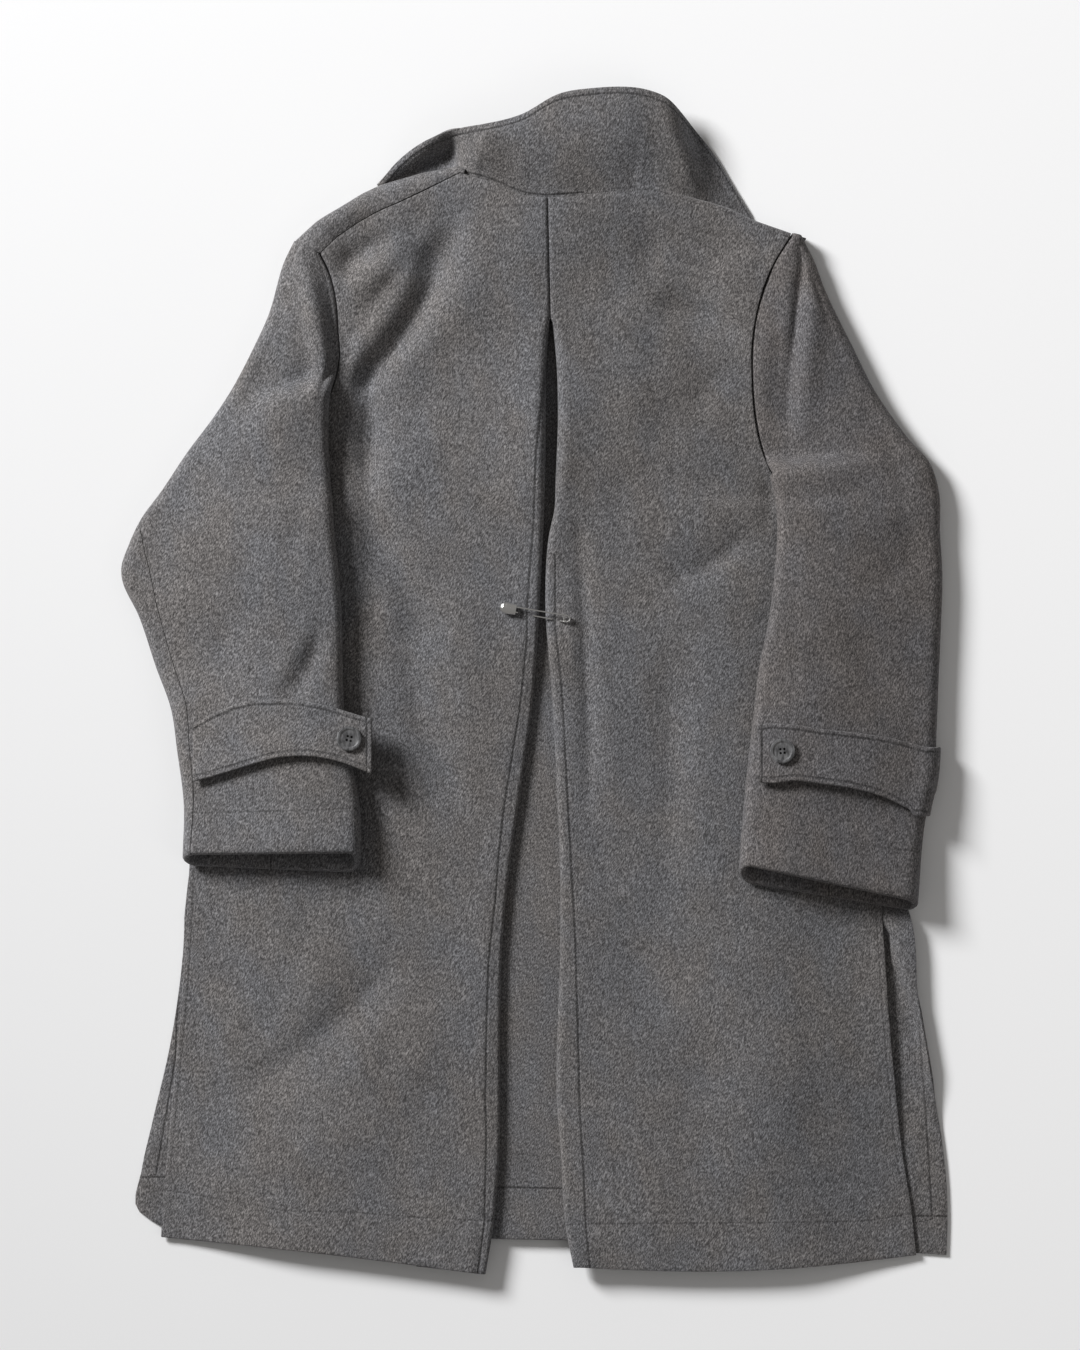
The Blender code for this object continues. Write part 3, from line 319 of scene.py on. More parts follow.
UNDERARM_RIGHT = 150
LIP_LEFT = 18
LIP_RIGHT = 16
SLEEVE_CLEARANCE = 1.9
HEM_TURN = [(0.15, 0.3), (0.5, 0.5), (0.9, 0.3), (1.05, 0), (1.1, -5), (1.2, -14)]
ARMHOLE_GAP = 0.3
UNDER_GAP = 0.8
UNDERARM_SHIFT = 20
UNDERARM_RETREAT = 20
UNDERARM_REACH = 60
HEAD_WIDTH = 45
HEAD_RUN = 35
RAMP_START = 9
RAMP_END = 40

# %% The straps and their buttons
Strap = namedtuple("Strap", "x top_y bottom_y")
STRAP_LEFT = [
    Strap(-301, -38, -89), Strap(-276, -25, -82), Strap(-250, -17, -74), Strap(-228, -16, -68),
    Strap(-204, -17, -66), Strap(-180, -22, -69), Strap(-160, -28, -75), Strap(-143, -33, -82),
]
STRAP_RIGHT = [
    Strap(197, -38, -89), Strap(210, -37, -90), Strap(228, -38, -88), Strap(255, -42, -91),
    Strap(282, -45, -95), Strap(310, -49, -103), Strap(331, -54, -113),
]
STRAP_WRAP = (58, 119)
STRAP_THICK = 3
STRAP_SEAT = 0.6
STRAP_RISE = 4.5

# %% Sections of the collar
Band = namedtuple("Band", "edge_x edge_y edge_z seam_x seam_y seam_z puff")
COLLAR = [
    Band(-139, 440, 4, -131, 438.5, 2.5, 0.5),
    Band(-122, 460, 11, -114, 447, 3, 3),
    Band(-101, 476, 18, -96, 454, 2.5, 3),
    Band(-86, 483, 24, -84, 459.5, 2.5, -1),
    Band(-74, 487, 28, -74, 461, 4, -6),
    Band(-60, 490, 31, -64, 456.5, 20, 1),
    Band(-47, 492, 33, -53, 449.5, 25, 4),
    Band(-11, 501, 34, -19, 436.4, 27, 6),
    Band(22, 519, 34, 12, 429, 27, 6),
    Band(51, 524, 34, 42, 432.2, 26, 6),
    Band(94, 524, 33, 80, 436, 25, 5),
    Band(109, 520, 31, 99, 442.5, 24, 4),
    Band(120, 514, 28, 122, 436.5, 22, 3),
    Band(131, 503, 19, 141, 431.5, 18, 2),
    Band(141, 491, 11, 155, 426.8, 11, 1),
    Band(159, 468, 5, 171.5, 421.6, 6, 0.5),
    Band(180, 434, 2.5, 185.5, 416, 3, 0.5),
    Band(191, 416, 2.5, 192.8, 411.6, 2.5, 0),
]


# %% [markdown]
# ## Curves through the tables
#
# Two small helpers: a step with soft ends, and a smooth curve through a table's rows, which is cut into
# as many evenly spaced rows as a grid needs.

# %% Smooth steps and smooth rows
def smooth(share):
    share = np.clip(share, 0, 1)
    return share * share * (3 - 2 * share)


def through(rows, count):
    rows = np.array(rows, float)
    steps = np.sqrt((np.diff(rows[:, :4], axis=0) ** 2).sum(axis=1))
    at = np.concatenate([[0], np.cumsum(steps)])
    slopes = np.gradient(rows, at, axis=0)
    wanted = np.linspace(0, at[-1], count)
    i = np.clip(np.searchsorted(at, wanted, side="right") - 1, 0, len(at) - 2)
    span = at[i + 1] - at[i]
    t = ((wanted - at[i]) / span)[:, None]
    span = span[:, None]
    return (
        (2 * t**3 - 3 * t**2 + 1) * rows[i]
        + (t**3 - 2 * t**2 + t) * span * slopes[i]
        + (3 * t**2 - 2 * t**3) * rows[i + 1]
        + (t**3 - t**2) * span * slopes[i + 1]
    )


def column(table, name, share):
    return np.interp(share, [row.share for row in table], [getattr(row, name) for row in table])


# %% [markdown]
# ## Soft creases
#
# Thick felted wool doesn't crumple. It lies in wide troughs and low ridges that fade out at both ends.
# Each row below is one of them, placed as on the real coat: where it starts and ends, how far it bends
# to the left of the straight way, how wide it is and how deep. A little even wave keeps the cloth
# between them from lying dead flat.

# %% Creases of the back and of the sleeves
Crease = namedtuple("Crease", "from_x from_y to_x to_y bend half_width depth")
BACK_CREASES = [
    Crease(-65, 412, -155, 258, 11, 11, -9),
    Crease(-87, 420, -173, 272, 10, 11, 8),
    Crease(-42, 376, -116, 284, 6, 13, 1.5),
    Crease(-202, 349, -120, 397, 2, 13, -9.5),
    Crease(-168, 340, -112, 374, 2, 10, 2.5),
    Crease(-188, 382, -138, 413, 2, 9, -3),
    Crease(-149, 290, -150, 174, 3, 12, -6),
    Crease(-147, 236, -144, 158, 0, 12, -5),
    Crease(-151, 150, -147, 44, 3, 12, -2.6),
    Crease(-136, 262, -140, 196, 2, 9, 1.2),
    Crease(-60, 300, -40, 200, 6, 18, 0.9),
    Crease(-155, 168, -88, 42, -8, 11, -3.2),
    Crease(-122, 160, -70, 60, -6, 11, 1.3),
    Crease(-113, 38, -70, -104, -9, 11, -2.4),
    Crease(-140, -165, -110, -300, 6, 20, 0.9),
    Crease(-196, -190, -250, -330, 8, 15, -1.6),
    Crease(-135, -262, -262, -364, 6, 13, -2.6),
    Crease(-112, -268, -186, -372, 5, 13, 1.2),
    Crease(-120, -400, -60, -300, -5, 20, -1.1),
    Crease(58, 408, 74, 330, 4, 14, -1.2),
    Crease(104, 396, 98, 352, 2, 13, -2.4),
    Crease(116, 336, 194, 296, 5, 10, -3.8),
    Crease(118, 312, 176, 280, 4, 9, 1.4),
    Crease(96, 316, 104, 270, 3, 14, -1.2),
    Crease(172, 276, 146, 242, -4, 11, -2.2),
    Crease(206, 206, 207, 140, 3, 9, -3.0),
    Crease(184, 124, 126, 90, 4, 9, -2.8),
    Crease(60, 200, 66, 60, -5, 17, 0.9),
    Crease(118, 60, 112, -210, 6, 14, -2.0),
    Crease(150, 20, 156, -190, -5, 15, 1.1),
    Crease(40, 140, 49, -112, 2, 7, -3.4),
    Crease(60, 40, 68, -150, 3, 11, 0.9),
    Crease(70, -150, 92, -330, 5, 18, -1.0),
    Crease(210, -240, 232, -420, 7, 18, 1.1),
    Crease(160, -320, 140, -470, -6, 20, -1.1),
]
SLEEVE_CREASES = [
    Crease(-209, 384, -182, 216, 6, 9, 9.5),
    Crease(-186, 376, -172, 290, 3, 5, -2),
    Crease(-226, 318, -262, 226, 6, 14, -1.4),
    Crease(-206, 170, -218, 108, 4, 12, -2.0),
    Crease(-300, 190, -230, 120, 6, 13, -1.3),
    Crease(-345, 112, -262, 84, -5, 11, -1.6),
    Crease(-338, 70, -255, 60, 4, 10, 1.0),
    Crease(-182, 48, -218, -16, 3, 10, -5.0),
    Crease(-200, 54, -234, -4, 3, 8, 1.2),
    Crease(-248, 70, -286, -6, -5, 12, -1.2),
    Crease(-262, -104, -200, -112, 2, 10, -0.9),
    Crease(240, 386, 226, 222, -2, 6, -5.6),
    Crease(252, 384, 239, 222, -2, 10, 3.4),
    Crease(216, 306, 221, 230, 0, 11, -5),
    Crease(262, 320, 276, 236, 4, 12, -1.4),
    Crease(300, 246, 332, 112, 8, 12, -2.2),
    Crease(344, 186, 262, 166, -6, 12, -1.4),
    Crease(352, 160, 268, 130, 5, 11, 1.0),
    Crease(352, 120, 284, 84, 5, 12, -1.3),
    Crease(236, 30, 262, 6, 4, 9, -1.6),
    Crease(282, 44, 318, -14, -5, 12, -1.8),
    Crease(222, 120, 228, -10, 5, 10, -1.0),
    Crease(206, -112, 300, -126, 3, 10, -1.1),
]
SHOULDER_CREASES = [
    Crease(-208, 402, -150, 432, 0, 8, 3.5),
    Crease(-188, 382, -138, 413, 2, 9, -3),
]
COLLAR_CREASES = [
    Crease(114, 506, 145, 426, 3, 11, 4.5),
    Crease(132, 500, 168, 430, 2, 8, -2.8),
    Crease(-40, 488, -58, 452, 3, 9, 1.2),
    Crease(-30, 482, -18, 448, 3, 12, -1.0),
    Crease(30, 512, 58, 470, 4, 14, -0.9),
    Crease(84, 514, 92, 456, 3, 13, 0.9),
]
Ripple = namedtuple("Ripple", "along_x along_y start size")
RIPPLES = [
    Ripple(0.031, 0.018, 0.4, 0.35), Ripple(-0.014, 0.027, 1.9, 0.4),
    Ripple(0.052, -0.037, 3.1, 0.16), Ripple(0.021, 0.061, 5.0, 0.14),
]
CREASE_ENDS = 0.25
CREASE_ROUNDING = 0.7


def relief(creases, x, y):
    """Height that the creases and the even wave add at points of the cloth."""
    height = np.zeros_like(x, dtype=float)
    for crease in creases:
        run_x, run_y = crease.to_x - crease.from_x, crease.to_y - crease.from_y
        length = math.hypot(run_x, run_y)
        share = ((x - crease.from_x) * run_x + (y - crease.from_y) * run_y) / length**2
        held = np.clip(share, 0, 1)
        off = (-(x - crease.from_x) * run_y + (y - crease.from_y) * run_x) / length
        off = np.abs(off - crease.bend * 4 * held * (1 - held)) + np.abs(share - held) * length
        fade = CREASE_ENDS + (1 - CREASE_ENDS) * np.sin(math.pi * held) ** CREASE_ROUNDING
        height = height + crease.depth * fade * np.exp(-((off / crease.half_width) ** 2))
    for along_x, along_y, start, size in RIPPLES:
        height = height + size * np.sin(x * along_x + y * along_y + start)
    return height


print(len(BACK_CREASES), "creases on the back and", len(SLEEVE_CREASES), "on the sleeves")


# %% [markdown]
# ## One half of the body
#
# The back is a height over the floor: it rests on the front at the side seam, rises to its loft in the
# middle, and carries the folds. Beside the pleat the cloth rolls over a small radius and runs back
# under itself, which is what gives the pleat its thick soft edge.

# %% The half of the body
class Half:
    def __init__(self, sections, top, fronts, wrap, neck_point, turned):
        self.sections = sections
        self.top = top
        self.fronts = fronts
        self.wrap = wrap
        self.neck_point = neck_point
        self.turned = turned
        self.fine = through(sections, FINE_ROWS)

    def edge(self, y, name):
        along = "fold_y" if name == "fold_x" else "side_y"
        heights, values = (self.fine[:, Section._fields.index(field)] for field in (along, name))
        return np.interp(y, heights, values)

    def lie(self, x, y):
        """Height of the back's underside."""
        inward = (x - self.edge(y, "side_x")) * self.turned
        away = (self.edge(y, "fold_x") - x) * self.turned
        body = smooth(inward / SIDE_FALL)
        z = SEAT + self.edge(y, "lift") * (1 - body) + LOFT * body
        neck = smooth((y - NECK_FROM) / NECK_RUN)
        z = z + NECK_LIFT * neck * np.exp(-(((x - NECK_MIDDLE) / NECK_WIDTH) ** 2))
        rolled = smooth((PLEAT_TOP + ROLL_ABOVE - y) / PLEAT_FADE)
        z = z + ROLL_LIFT * np.exp(-((away / ROLL_WIDTH) ** 2)) * rolled
        along_gape = ((y - GAPE_MIDDLE) / GAPE_LENGTH) ** 2
        z = z + GAPE_LIFT * np.exp(-((away / GAPE_WIDTH) ** 2) - along_gape)
        if self.turned > 0:
            z = z - DROOP * (1 - smooth(away / DROOP_RUN)) * smooth((DROOP_TOP - y) / DROOP_FADE)
        for fold in FOLDS:
            reach = smooth(inward / FOLD_FALL)
            z = z + fold.depth * np.exp(-((off_line(fold, x, y) / fold.half_width) ** 2)) * reach
        return z

    def face(self, x, y):
        """Height of the back's upper face, creases and all."""
        near_side = smooth((x - self.edge(y, "side_x")) * self.turned / SIDE_CALM)
        near_fold = smooth(((self.edge(y, "fold_x") - x) * self.turned - 2 * CLOTH) / FOLD_CALM)
        return self.lie(x, y) + relief(BACK_CREASES, x, y) * near_side * near_fold + CLOTH

    def closed(self, y):
        """0 where the pleat hangs open, 1 where the centre seam has closed it."""
        return smooth((y - PLEAT_TOP + PLEAT_CLOSES) / PLEAT_FADE)

    def turn(self, y, z):
        """Radius of the pleat's rolled edge."""
        open_turn = (z - RETURN_FACE) / 2
        return open_turn * (1 - self.closed(y)) + TIGHT_TURN * self.closed(y)

    def centre_seam(self, y):
        share = (y - PLEAT_TOP) / (CENTRE_SEAM_END - PLEAT_TOP)
        middle = CENTRE_SEAM_LOW + (CENTRE_SEAM_HIGH - CENTRE_SEAM_LOW) * share
        return middle - self.turned * SEAM / 2

    def row(self, section, columns):
        """One section of the back, from the side seam over the pleat's edge to the cloth turned under."""
        side_x, side_y, fold_x, fold_y, _, rise, bow = section
        turned = self.turned
        if fold_y > PLEAT_TOP:
            fold_x = self.centre_seam(fold_y)
        edge_z = float(self.lie(fold_x - ROLL_READ * turned, fold_y))
        radius = float(self.turn(fold_y, edge_z))
        edge_x = fold_x - turned * (radius + CLOTH)
        share = np.linspace(0, 1, columns)
        x = side_x + (edge_x - side_x) * share
        y = side_y + (fold_y - side_y) * share
        y = y + rise * column(self.top, "rise", share) + bow * np.sin(math.pi * share)
        z = self.lie(x, y)
        near_side = smooth((x - side_x) * turned / SIDE_CALM)
        near_fold = smooth((edge_x - x) * turned / FOLD_CALM)
        z = z + relief(BACK_CREASES, x, y) * near_side * near_fold
        z[-len(EDGE_EASE):] += (edge_z - z[-1]) * np.array(EDGE_EASE)
        bend = np.radians(np.linspace(*ROLL_BEND, ROLL_STEPS))
        square = 1 - ROLL_SQUARE * float(self.closed(fold_y))
        across, down = np.abs(np.cos(bend)) ** square, np.sin(bend)
        down = np.sign(down) * np.abs(down) ** square
        deep = float(smooth((PLEAT_TOP + RETURN_FROM - fold_y) / RETURN_FADE))
        depth = RETURN_TOP + (RETURN_DEPTH - RETURN_TOP) * deep
        under = edge_x - turned * depth * np.linspace(0.1, 1, RETURN_STEPS)
        flat = np.full(len(under), edge_z - 2 * radius)
        slope = (side_y - fold_y) / abs(edge_x - side_x)
        return np.column_stack([
            np.concatenate([x, edge_x + turned * radius * across, under]),
            np.concatenate([y, np.full(len(bend), fold_y), fold_y + slope * (edge_x - under) * turned]),
            np.concatenate([z, edge_z - radius + radius * down, flat]),
        ])

    def shoulder(self, share):
        """The line of the shoulder seam."""
        side_x, side_y, _, fold_y = self.sections[-1][:4]
        fold_x = self.centre_seam(fold_y) - self.turned * (TIGHT_TURN + CLOTH)
        x = side_x + (fold_x - side_x) * share
        y = side_y + (fold_y - side_y) * share + column(self.top, "rise", share)
        return x, y, self.lie(x, y)

    def wrap_row(self, out, height, columns):
        """One row of the front's cloth as it turns up round the shoulder to the seam."""
        share = np.linspace(0, 1, columns)
        x, y, seam_z = self.shoulder(share * self.neck_point)
        heading = np.radians(column(self.wrap, "heading", share))
        reach = out * (column(self.wrap, "bulge", share) - CLOTH) + 2 * SEAM
        x, y = x + reach * np.cos(heading), y + reach * np.sin(heading)
        dent = relief(SHOULDER_CREASES, x, y) * smooth(height * (1 + DENT_FROM) - DENT_FROM)
        return np.column_stack([x, y, CLOTH + (seam_z - CLOTH) * height + dent])


def off_line(fold, x, y):
    """Distance of points from the line of a fold."""
    run_x, run_y = fold.to_x - fold.from_x, fold.to_y - fold.from_y
    along = ((x - fold.from_x) * run_x + (y - fold.from_y) * run_y) / (run_x**2 + run_y**2)
    along = np.clip(along, 0, 1)
    return np.hypot(x - fold.from_x - along * run_x, y - fold.from_y - along * run_y)


left = Half(BACK_LEFT, TOP_LEFT, FRONT_LEFT, WRAP_LEFT, NECK_POINT_LEFT, 1)
right = Half(BACK_RIGHT, TOP_RIGHT, FRONT_RIGHT, WRAP_RIGHT, NECK_POINT_RIGHT, -1)
print("the back stands", round(float(left.lie(-150.0, 0.0)), 1), "mm over the floor beside the pleat")

# %% [markdown]
# ## Wool
#
# The cloth is a felted melton in dark grey. Its surface is a mat of fibres, some pale and some nearly
# black, brushed in one direction. The material mixes three tones by two fine noises that are stretched
# along the brushing, lets the tone drift slowly over the coat, and raises the same fibres as a bump.
# Each panel carries three numbers a point, the distances in mm to its topstitched lines; near zero the
# material sinks the cloth as the thread pulls it in, and darkens it there as painted shade in the groove.

# %% The wool material
# How strongly each line darkens the cloth: painted shade along the stitched grooves.
LINE_SHADE = {"line_a": 0.36, "line_b": 0.15, "line_c": 0.4}
FAR = 30.0
WOOL_DARK = (0.05, 0.048, 0.0485)
WOOL_MID = (0.115, 0.1118, 0.1125)
WOOL_PALE = (0.235, 0.229, 0.231)
WARM_TINT = (1.035, 1.0, 0.965)
COOL_TINT = (0.975, 0.995, 1.03)


def node_maker(tree):
    """A short way to add a node, fill its sockets and link others into them."""

    def add(kind, links=(), **values):
        node = tree.nodes.new(kind)
        for name, value in values.items():
            if name in node.inputs:
                node.inputs[name].default_value = value
            elif name[0] == "i" and name[1:].isdigit():
                node.inputs[int(name[1:])].default_value = value
            else:
                setattr(node, name, value)
        for source, socket in links:
            tree.links.new(source, node.inputs[socket])
        return node

    return add


def new_material(name):
    """An empty material, a way to add its nodes, and the place that its patterns read."""
    made = bpy.data.materials.new(name)
    made.use_nodes = True
    made.node_tree.nodes.clear()
    add = node_maker(made.node_tree)
    return made, add, add("ShaderNodeTexCoord").outputs["Object"]


def tone_ramp(add, factor, *stops):
    """Colours over a factor, given as positions and colours from the low end to the high end."""
    ramp = add("ShaderNodeValToRGB", [(factor, "Fac")])
    for end, (position, colour) in zip(ramp.color_ramp.elements, (stops[0], stops[-1])):
        end.position = position
        end.color = (*colour, 1)
    for position, colour in stops[1:-1]:
        ramp.color_ramp.elements.new(position).color = (*colour, 1)
    return ramp.outputs["Color"]


def finish(add, links, **sockets):
    """The shader with its sockets' values, and the material's output."""
    shader = add("ShaderNodeBsdfPrincipled", links)
    for name, value in sockets.items():
        shader.inputs[name.replace("_", " ")].default_value = value
    add("ShaderNodeOutputMaterial", [(shader.outputs[0], "Surface")])


def wool_material(name, tone=(1.0, 1.0, 1.0), nap=20):
    made, add, place = new_material(name)

    def fibres(wide, long, angle, detail):
        """Noise drawn out one way; wide and long are in metres."""
        turned = add("ShaderNodeMapping", [(place, "Vector")], Rotation=(0, 0, math.radians(angle)))
        size = (1 / wide, 1 / long, 1 / wide)
        drawn = add("ShaderNodeMapping", [(turned.outputs[0], "Vector")], Scale=size)
        grain = {"Scale": 1.0, "Detail": detail, "Roughness": 0.6}
        return add("ShaderNodeTexNoise", [(drawn.outputs[0], "Vector")], **grain).outputs["Fac"]

    def maths(operation, *parts, kind="ShaderNodeMath"):
        """A sum whose parts are sockets or numbers."""
        sockets = [(part, k) for k, part in enumerate(parts) if not isinstance(part, float)]
        numbers = {f"i{k}": part for k, part in enumerate(parts) if isinstance(part, float)}
        return add(kind, sockets, operation=operation, **numbers).outputs[0]

    def toned_by(factor, low, high):
        """The middle range of a noise as a tone from low to high."""
        ranges = {"From Min": 0.3, "From Max": 0.7, "To Min": low, "To Max": high}
        return add("ShaderNodeMapRange", [(factor, "Value")], **ranges).outputs[0]

    fine = fibres(0.0009, 0.0024, nap, 2.0)
    flecks = fibres(0.0017, 0.0042, nap + 6, 1.0)
    cloud = fibres(0.045, 0.07, 10, 2.0)
    drift = fibres(0.05, 0.08, -15, 2.0)
    # tone scales all three colours; the right sleeve's copy of the wool uses it as painted shade.
    dark, mid, pale = ([c * t for c, t in zip(colour, tone)] for colour in (WOOL_DARK, WOOL_MID, WOOL_PALE))
    melange = tone_ramp(add, fine, (0.34, dark), (0.5, mid), (0.66, pale))
    # Near each stitched line the groove sinks the bump and also darkens the colour as painted shade.
    sunk_and_shaded = 0.0
    for line, strength in LINE_SHADE.items():
        near = add("ShaderNodeAttribute", attribute_name=line).outputs["Fac"]
        narrow = maths("MULTIPLY", maths("MULTIPLY", near, near), -1.0)
        sunk_and_shaded = maths("MAXIMUM", sunk_and_shaded, maths("MULTIPLY", maths("EXPONENT", narrow), strength))
    uneven = maths("MULTIPLY", toned_by(flecks, 0.78, 1.25), toned_by(cloud, 0.93, 1.07))
    # The colour is multiplied down along the lines: painted shade in the grooves.
    toned = maths("MULTIPLY", uneven, maths("MULTIPLY_ADD", sunk_and_shaded, -1.0, 1.0))
    tint = tone_ramp(add, drift, (0.36, WARM_TINT), (0.64, COOL_TINT))
    tinted = maths("MULTIPLY", melange, tint, kind="ShaderNodeVectorMath")
    colour = maths("MULTIPLY", tinted, toned, kind="ShaderNodeVectorMath")
    height = maths("MULTIPLY_ADD", sunk_and_shaded, -6.0, maths("ADD", fine, flecks))
    bump = add("ShaderNodeBump", [(height, "Height")], Strength=0.55, Distance=0.0006)
    finish(
        add, [(colour, "Base Color"), (bump.outputs[0], "Normal")], Roughness=0.95, Specular_IOR_Level=0.18,
        Sheen_Weight=0.12, Sheen_Roughness=0.5, Sheen_Tint=(0.9, 0.9, 0.92, 1),
    )
    return made


wool = wool_material("wool_melton")
print("wool has", len(wool.node_tree.nodes), "nodes")

# %% [markdown]
# ## From a grid to a wall of cloth
#
# Every panel is a grid of points on the inner face of the cloth. Solidify gives it its thickness on the
# outer side, and a small bevel rounds the cut edges as pressed wool is rounded. The result is turned
# into a plain mesh at once, so that nothing later depends on a modifier.

# %% The wall of cloth
BEVEL_SEGMENTS = 2
BEVEL_ANGLE = 60


def settled(thing):
    """The object with its modifiers applied, as a plain mesh."""
    bpy.context.view_layer.update()
    graph = bpy.context.evaluated_depsgraph_get()
    seen = thing.evaluated_get(graph)
    data = bpy.data.meshes.new_from_object(seen, preserve_all_data_layers=True, depsgraph=graph)
    thing.modifiers.clear()
    thing.data = data
    return thing


def cloth(name, rows, material, flip=False, thick=CLOTH, lines=(), edge=0.9):
    """A wall of cloth on a grid of points, with the distances to its stitched lines at each point."""
    grid = np.array(rows, float)
    n, m = grid.shape[:2]
    spot = np.arange(n * m).reshape(n, m)
    corners = (spot[:-1, :-1], spot[:-1, 1:], spot[1:, 1:], spot[1:, :-1])
    quads = np.stack(corners, axis=-1).reshape(-1, 4)
    if flip:
        quads = quads[:, ::-1]
    data = bpy.data.meshes.new(name)
    data.from_pydata((grid.reshape(-1, 3) * MM).tolist(), [], quads.tolist())
    for number, label in enumerate(LINE_SHADE):
        far = data.attributes.new(label, "FLOAT", "POINT")
        value = lines[number](grid[..., 0], grid[..., 1]) if number < len(lines) else np.full((n, m), FAR)
        far.data.foreach_set("value", np.clip(value, -FAR, FAR).astype(np.float32).ravel())
    along = np.concatenate([[0], np.cumsum(np.linalg.norm(np.diff(grid[:, m // 2], axis=0), axis=1))])
    across = np.concatenate([[0], np.cumsum(np.linalg.norm(np.diff(grid[n // 2], axis=0), axis=1))])
    layer = data.uv_layers.new(name="UVMap")
    corner = np.empty(len(data.loops), np.int32)
    data.loops.foreach_get("vertex_index", corner)
    flat = np.column_stack([across[corner % m], along[corner // m]]) * MM
    layer.data.foreach_set("uv", flat.astype(np.float32).ravel())
    data.shade_smooth()
    data.materials.append(material)
    piece = bpy.data.objects.new(name, data)
    bpy.context.scene.collection.objects.link(piece)
    wall = piece.modifiers.new("cloth", "SOLIDIFY")
    wall.thickness = thick * MM
    wall.offset = 1.0
    wall.use_even_offset = True
    wall.use_quality_normals = True
    round_over = piece.modifiers.new("edge", "BEVEL")
    round_over.width = edge * MM
    round_over.segments = BEVEL_SEGMENTS
    round_over.limit_method = "ANGLE"
    round_over.angle_limit = math.radians(BEVEL_ANGLE)
    settled(piece)
    print(f"{name}: {len(piece.data.polygons)} faces")
    return piece


def hand_in(piece, node):
    """Hang the piece on the root body and hide the solid that it stands for."""
    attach(piece, "root")
    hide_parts(node)


def flat_area(rows):
    """The area in m2 of a grid's own surface, and its width and length."""
    grid = np.array(rows, float) * MM
    a, b = grid[1:, :-1] - grid[:-1, :-1], grid[:-1, 1:] - grid[:-1, :-1]
    c, d = grid[1:, :-1] - grid[1:, 1:], grid[:-1, 1:] - grid[1:, 1:]
    area = sum(np.linalg.norm(np.cross(p, q), axis=-1).sum() for p, q in ((a, b), (c, d))) / 2
    length = np.linalg.norm(np.diff(grid, axis=0), axis=-1).sum(axis=0).max()
    width = np.linalg.norm(np.diff(grid, axis=1), axis=-1).sum(axis=1).max()
    return float(area), float(width), float(length)


def lay(piece, rows):
    """Print the flat width, length and area of a panel's cut."""
    area, width, length = flat_area(rows)
    area = min(area, width * length)
    print(f"{piece.name}: cut {width:.3f} x {length:.3f} m, {area:.3f} m2")


# %% [markdown]
# ## The back
#
# Two panels from the hem to the shoulder. The topstitched lines are given as distances: one runs beside
# the pleat's edge and one lies over the hem.

# %% The two back panels
LINE_OVERRUN = 3


def beside(table_x, table_y):
    """Distance from a line that runs up the coat, as far as the line goes."""
    def distance(x, y):
        along = (y > table_y[0] - LINE_OVERRUN) & (y < table_y[-1] + LINE_OVERRUN)
        return np.where(along, x - np.interp(y, table_y, table_x), FAR)
    return distance


def above(table_x, table_y):
    """Distance from a line that runs across the coat, as far as the line goes."""
    def distance(x, y):
        along = (x > table_x[0] - LINE_OVERRUN) & (x < table_x[-1] + LINE_OVERRUN)
        return np.where(along, y - np.interp(x, table_x, table_y), FAR)
    return distance


def no_line(x, y):
    return np.full_like(x, FAR)


def split(low, high, level=0):
    """One line low on the coat and another high on it."""
    return lambda x, y: np.where(y < level, low(x, y), high(x, y))


PLEAT_TABLE_LEFT = (
    [-50, -44, -42, -43, -42, -40, -34, -31, -26, -19, -12, -6, -6, -4, 0, 2, 5, 8, 11, 14],
    [-525, -481, -406, -369, -307, -245, -193, -154, -109, -65]
    + [-21, 38, 62, 91, 140, 202, 239, 277, 312, 322],
)
PLEAT_STITCH_LEFT = beside(*PLEAT_TABLE_LEFT)
HEM_STITCH_LEFT = above([-330, -280, -223, -150, -101, 0], [-451, -459, -469, -471, -475, -480])
PLEAT_TABLE_RIGHT = (
    [50, 46, 44, 41, 39, 37, 35, 31, 28, 25, 19, 19],
    [-519, -481, -431, -382, -307, -232, -193, -123, -65, -7, 49, 110],
)
PLEAT_STITCH_RIGHT = beside(*PLEAT_TABLE_RIGHT)
HEM_STITCH_RIGHT = above([0, 28, 294, 340], [-481, -481, -479, -472])
HEM_LEVEL = -440
YOKE_LEFT = above([-21, 13], [377.5, 378.5])
YOKE_RIGHT = above([13, 42], [378.5, 378])

VENT_INSET = 5
VENT_LEVELS = {"left": -168, "right": -205}


def vent_line(half, side):
    """Distance from the line of stitches inside the vent's edge."""
    def distance(x, y):
        inside = (x - half.edge(y, "side_x")) * half.turned - VENT_INSET
        return np.where(y < VENT_LEVELS[side], inside, FAR)
    return distance


for half, side, pleat, hem, yoke in (
    (left, "left", PLEAT_STITCH_LEFT, HEM_STITCH_LEFT, YOKE_LEFT),
    (right, "right", PLEAT_STITCH_RIGHT, HEM_STITCH_RIGHT, YOKE_RIGHT),
):
    stitched = (pleat, split(hem, split(vent_line(half, side), yoke), HEM_LEVEL))
    rows = [half.row(section, BACK_COLUMNS) for section in through(half.sections, FINE_ROWS)]
    piece = cloth(f"wool_back_{side}", rows, wool, flip=half.turned < 0, lines=stitched)
    hand_in(piece, f"back_{side}")
    lay(piece, rows)

# %% [markdown]
# ## The fronts
#
# Face down on the floor, with only their outer edges in sight beside the vents, and the cloth that
# turns up round the shoulders.

